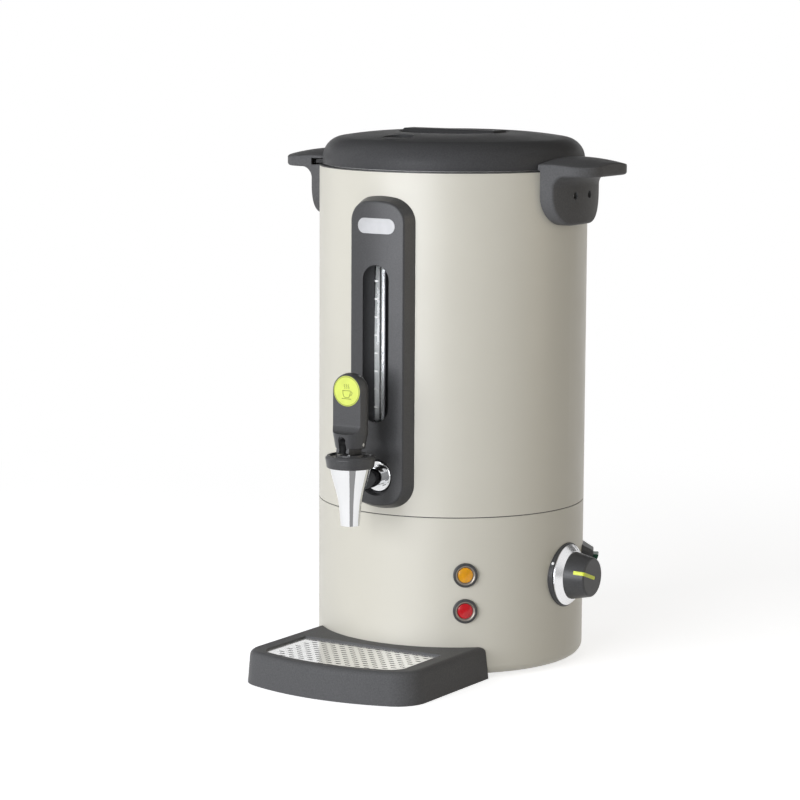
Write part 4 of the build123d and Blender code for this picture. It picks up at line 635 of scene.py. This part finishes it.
def spring():
    """Coil spring in the bonnet, built at one length; in the urn it is pressed together as the
    lever lifts the stem.
    """
    steps = SPRING_TURNS * STEPS_PER_TURN
    rings = []
    for i, z in enumerate(spread((SPRING_LOW, SPRING_HIGH), steps)):
        t = 2 * math.pi * i / STEPS_PER_TURN
        way = Vector((math.cos(t), math.sin(t), 0))
        mid = Vector((0, TAP_Y, z)) + way * SPRING_R
        rings.append([mid + way * (WIRE_R * math.cos(a)) + Vector((0, 0, WIRE_R * math.sin(a)))
                      for a in turns(8)])
    bm = bmesh.new()
    closed_sweep(bm, rings)
    coil = piece("coil_spring", bm, "urn", "steel")
    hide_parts("tap_spring")
    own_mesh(coil)


def stroke(bm, points, width, base_y, proud):
    """Thin raised line on an upright face that looks towards -Y; points are (x, z)."""
    half = width / 2
    back, front = base_y, base_y - proud
    rows = []
    for i, (x, z) in enumerate(points):
        x0, z0 = points[max(i - 1, 0)]
        x1, z1 = points[min(i + 1, len(points) - 1)]
        along = Vector((x1 - x0, z1 - z0)).normalized()
        nx, nz = -along.y * half, along.x * half
        rows.append([(x + nx, back, z + nz), (x - nx, back, z - nz),
                     (x - nx, front, z - nz), (x + nx, front, z + nz)])
    closed_sweep(bm, rows)


# The sign's lines in millimetres from the badge's centre, as (across, up).
SIGN_LINES = (
    ((-3.6, 0.4), (-3.3, -2.4), (-2.5, -4.5), (-1.4, -5.2), (1.4, -5.2), (2.5, -4.5), (3.3, -2.4),
     (3.6, 0.4), (-3.6, 0.4)),                                              # cup
    ((3.5, -0.4), (4.9, -0.3), (5.4, -1.4), (4.7, -2.8), (2.9, -3.2)),      # ear
    ((-4.4, -6.2), (4.4, -6.2)),                                            # saucer
)
WISPS_AT = (-1.9, 0.0, 1.9)
RING_INSET, RING_WIDTH, RING_PROUD = 0.0008, 0.00035, 0.00012
LINE_WIDTH, WISP_WIDTH, LINE_PROUD = 0.00045, 0.0004, 0.00014
PRINT_SEAT = 0.00005    # how far the print's back lies inside the badge


def badge_print():
    """Generic sign on the lever badge: a cup under three wisps of steam, inside a thin ring."""
    low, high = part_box("lever_badge")
    cx, cz, seat = (low[0] + high[0]) / 2, (low[2] + high[2]) / 2, low[1] + PRINT_SEAT
    radius = (high[0] - low[0]) / 2 - RING_INSET
    bm = bmesh.new()
    ring = [(cx + math.sin(t) * radius, cz + math.cos(t) * radius)
            for t in spread((0, 2 * math.pi), 64)]
    stroke(bm, ring, RING_WIDTH, seat, RING_PROUD)
    for line in SIGN_LINES:
        stroke(bm, [(cx + x * MM, cz + z * MM) for x, z in line], LINE_WIDTH, seat, LINE_PROUD)
    for x in WISPS_AT:
        wisp = [(x + 0.45 * math.sin(t * 1.9), 2.0 + t) for t in [0.35 * i for i in range(11)]]
        stroke(bm, [(cx + a * MM, cz + b * MM) for a, b in wisp], WISP_WIDTH, seat, LINE_PROUD)
    piece("badge_sign", bm, "lever", "ink")


def dome(bm, centre, axis, radius, rise, rings=5, segments=24):
    """Small raised dot: a cap on a round foot."""
    side = axis.orthogonal().normalized()
    other = axis.cross(side)
    rows = []
    for k in range(rings):
        t = math.pi / 2 * k / rings
        r, h = radius * math.cos(t), rise * math.sin(t)
        rows.append([bm.verts.new(centre + axis * h + side * (r * math.cos(a))
                                  + other * (r * math.sin(a))) for a in turns(segments)])
    top = bm.verts.new(centre + axis * rise)
    for i in range(segments):
        j = (i + 1) % segments
        for one, two in zip(rows, rows[1:]):
            bm.faces.new((one[i], one[j], two[j], two[i]))
        bm.faces.new((rows[-1][i], rows[-1][j], top))
    bm.faces.new(list(reversed(rows[0])))


KNOB_CENTRE = (0.1127, 0, 0.078)
BEZEL_R = 0.02695       # of the bezel's rim, where the index dot sits
INDEX_ANGLE = 29        # above the horizontal, towards the front
INDEX_R, INDEX_RISE = 0.0013, 0.0004


def knob_index():
    """White dot on the bezel's rim that the knob's pointer is read against."""
    a = math.radians(INDEX_ANGLE)
    out = Vector((0, -math.cos(a), math.sin(a)))
    bm = bmesh.new()
    dome(bm, Vector(KNOB_CENTRE) + out * BEZEL_R, out, INDEX_R, INDEX_RISE)
    piece("knob_index", bm, "urn", "print")


LAMP_AZIMUTH = 36.8
LAMP_RINGS = {"lamp_ring_high": 0.0875, "lamp_ring_low": 0.0575}
# (radius, distance from the urn's axis), on the bevel of the lamp's bezel
LAMP_PROFILE = ((0.00632, 0.11372), (0.00812, 0.11552), (0.00798, 0.11558), (0.00632, 0.11394))


def lamp_rings():
    """Bright bevel inside each lamp's black bezel."""
    az = math.radians(LAMP_AZIMUTH)
    out = Vector((math.sin(az), -math.cos(az), 0))
    side = Vector((math.cos(az), math.sin(az), 0))
    for name, z in LAMP_RINGS.items():
        bm = bmesh.new()
        rows = []
        for t in turns(64):
            way = side * math.cos(t) + Vector((0, 0, 1)) * math.sin(t)
            rows.append([Vector((0, 0, z)) + out * d + way * r for r, d in LAMP_PROFILE])
        closed_sweep(bm, rows, loop=True)
        piece(name, bm, "urn", "lamp_ring")


camera()
made = materials()
stage()
gauge()
spring()
badge_print()
knob_index()
lamp_rings()
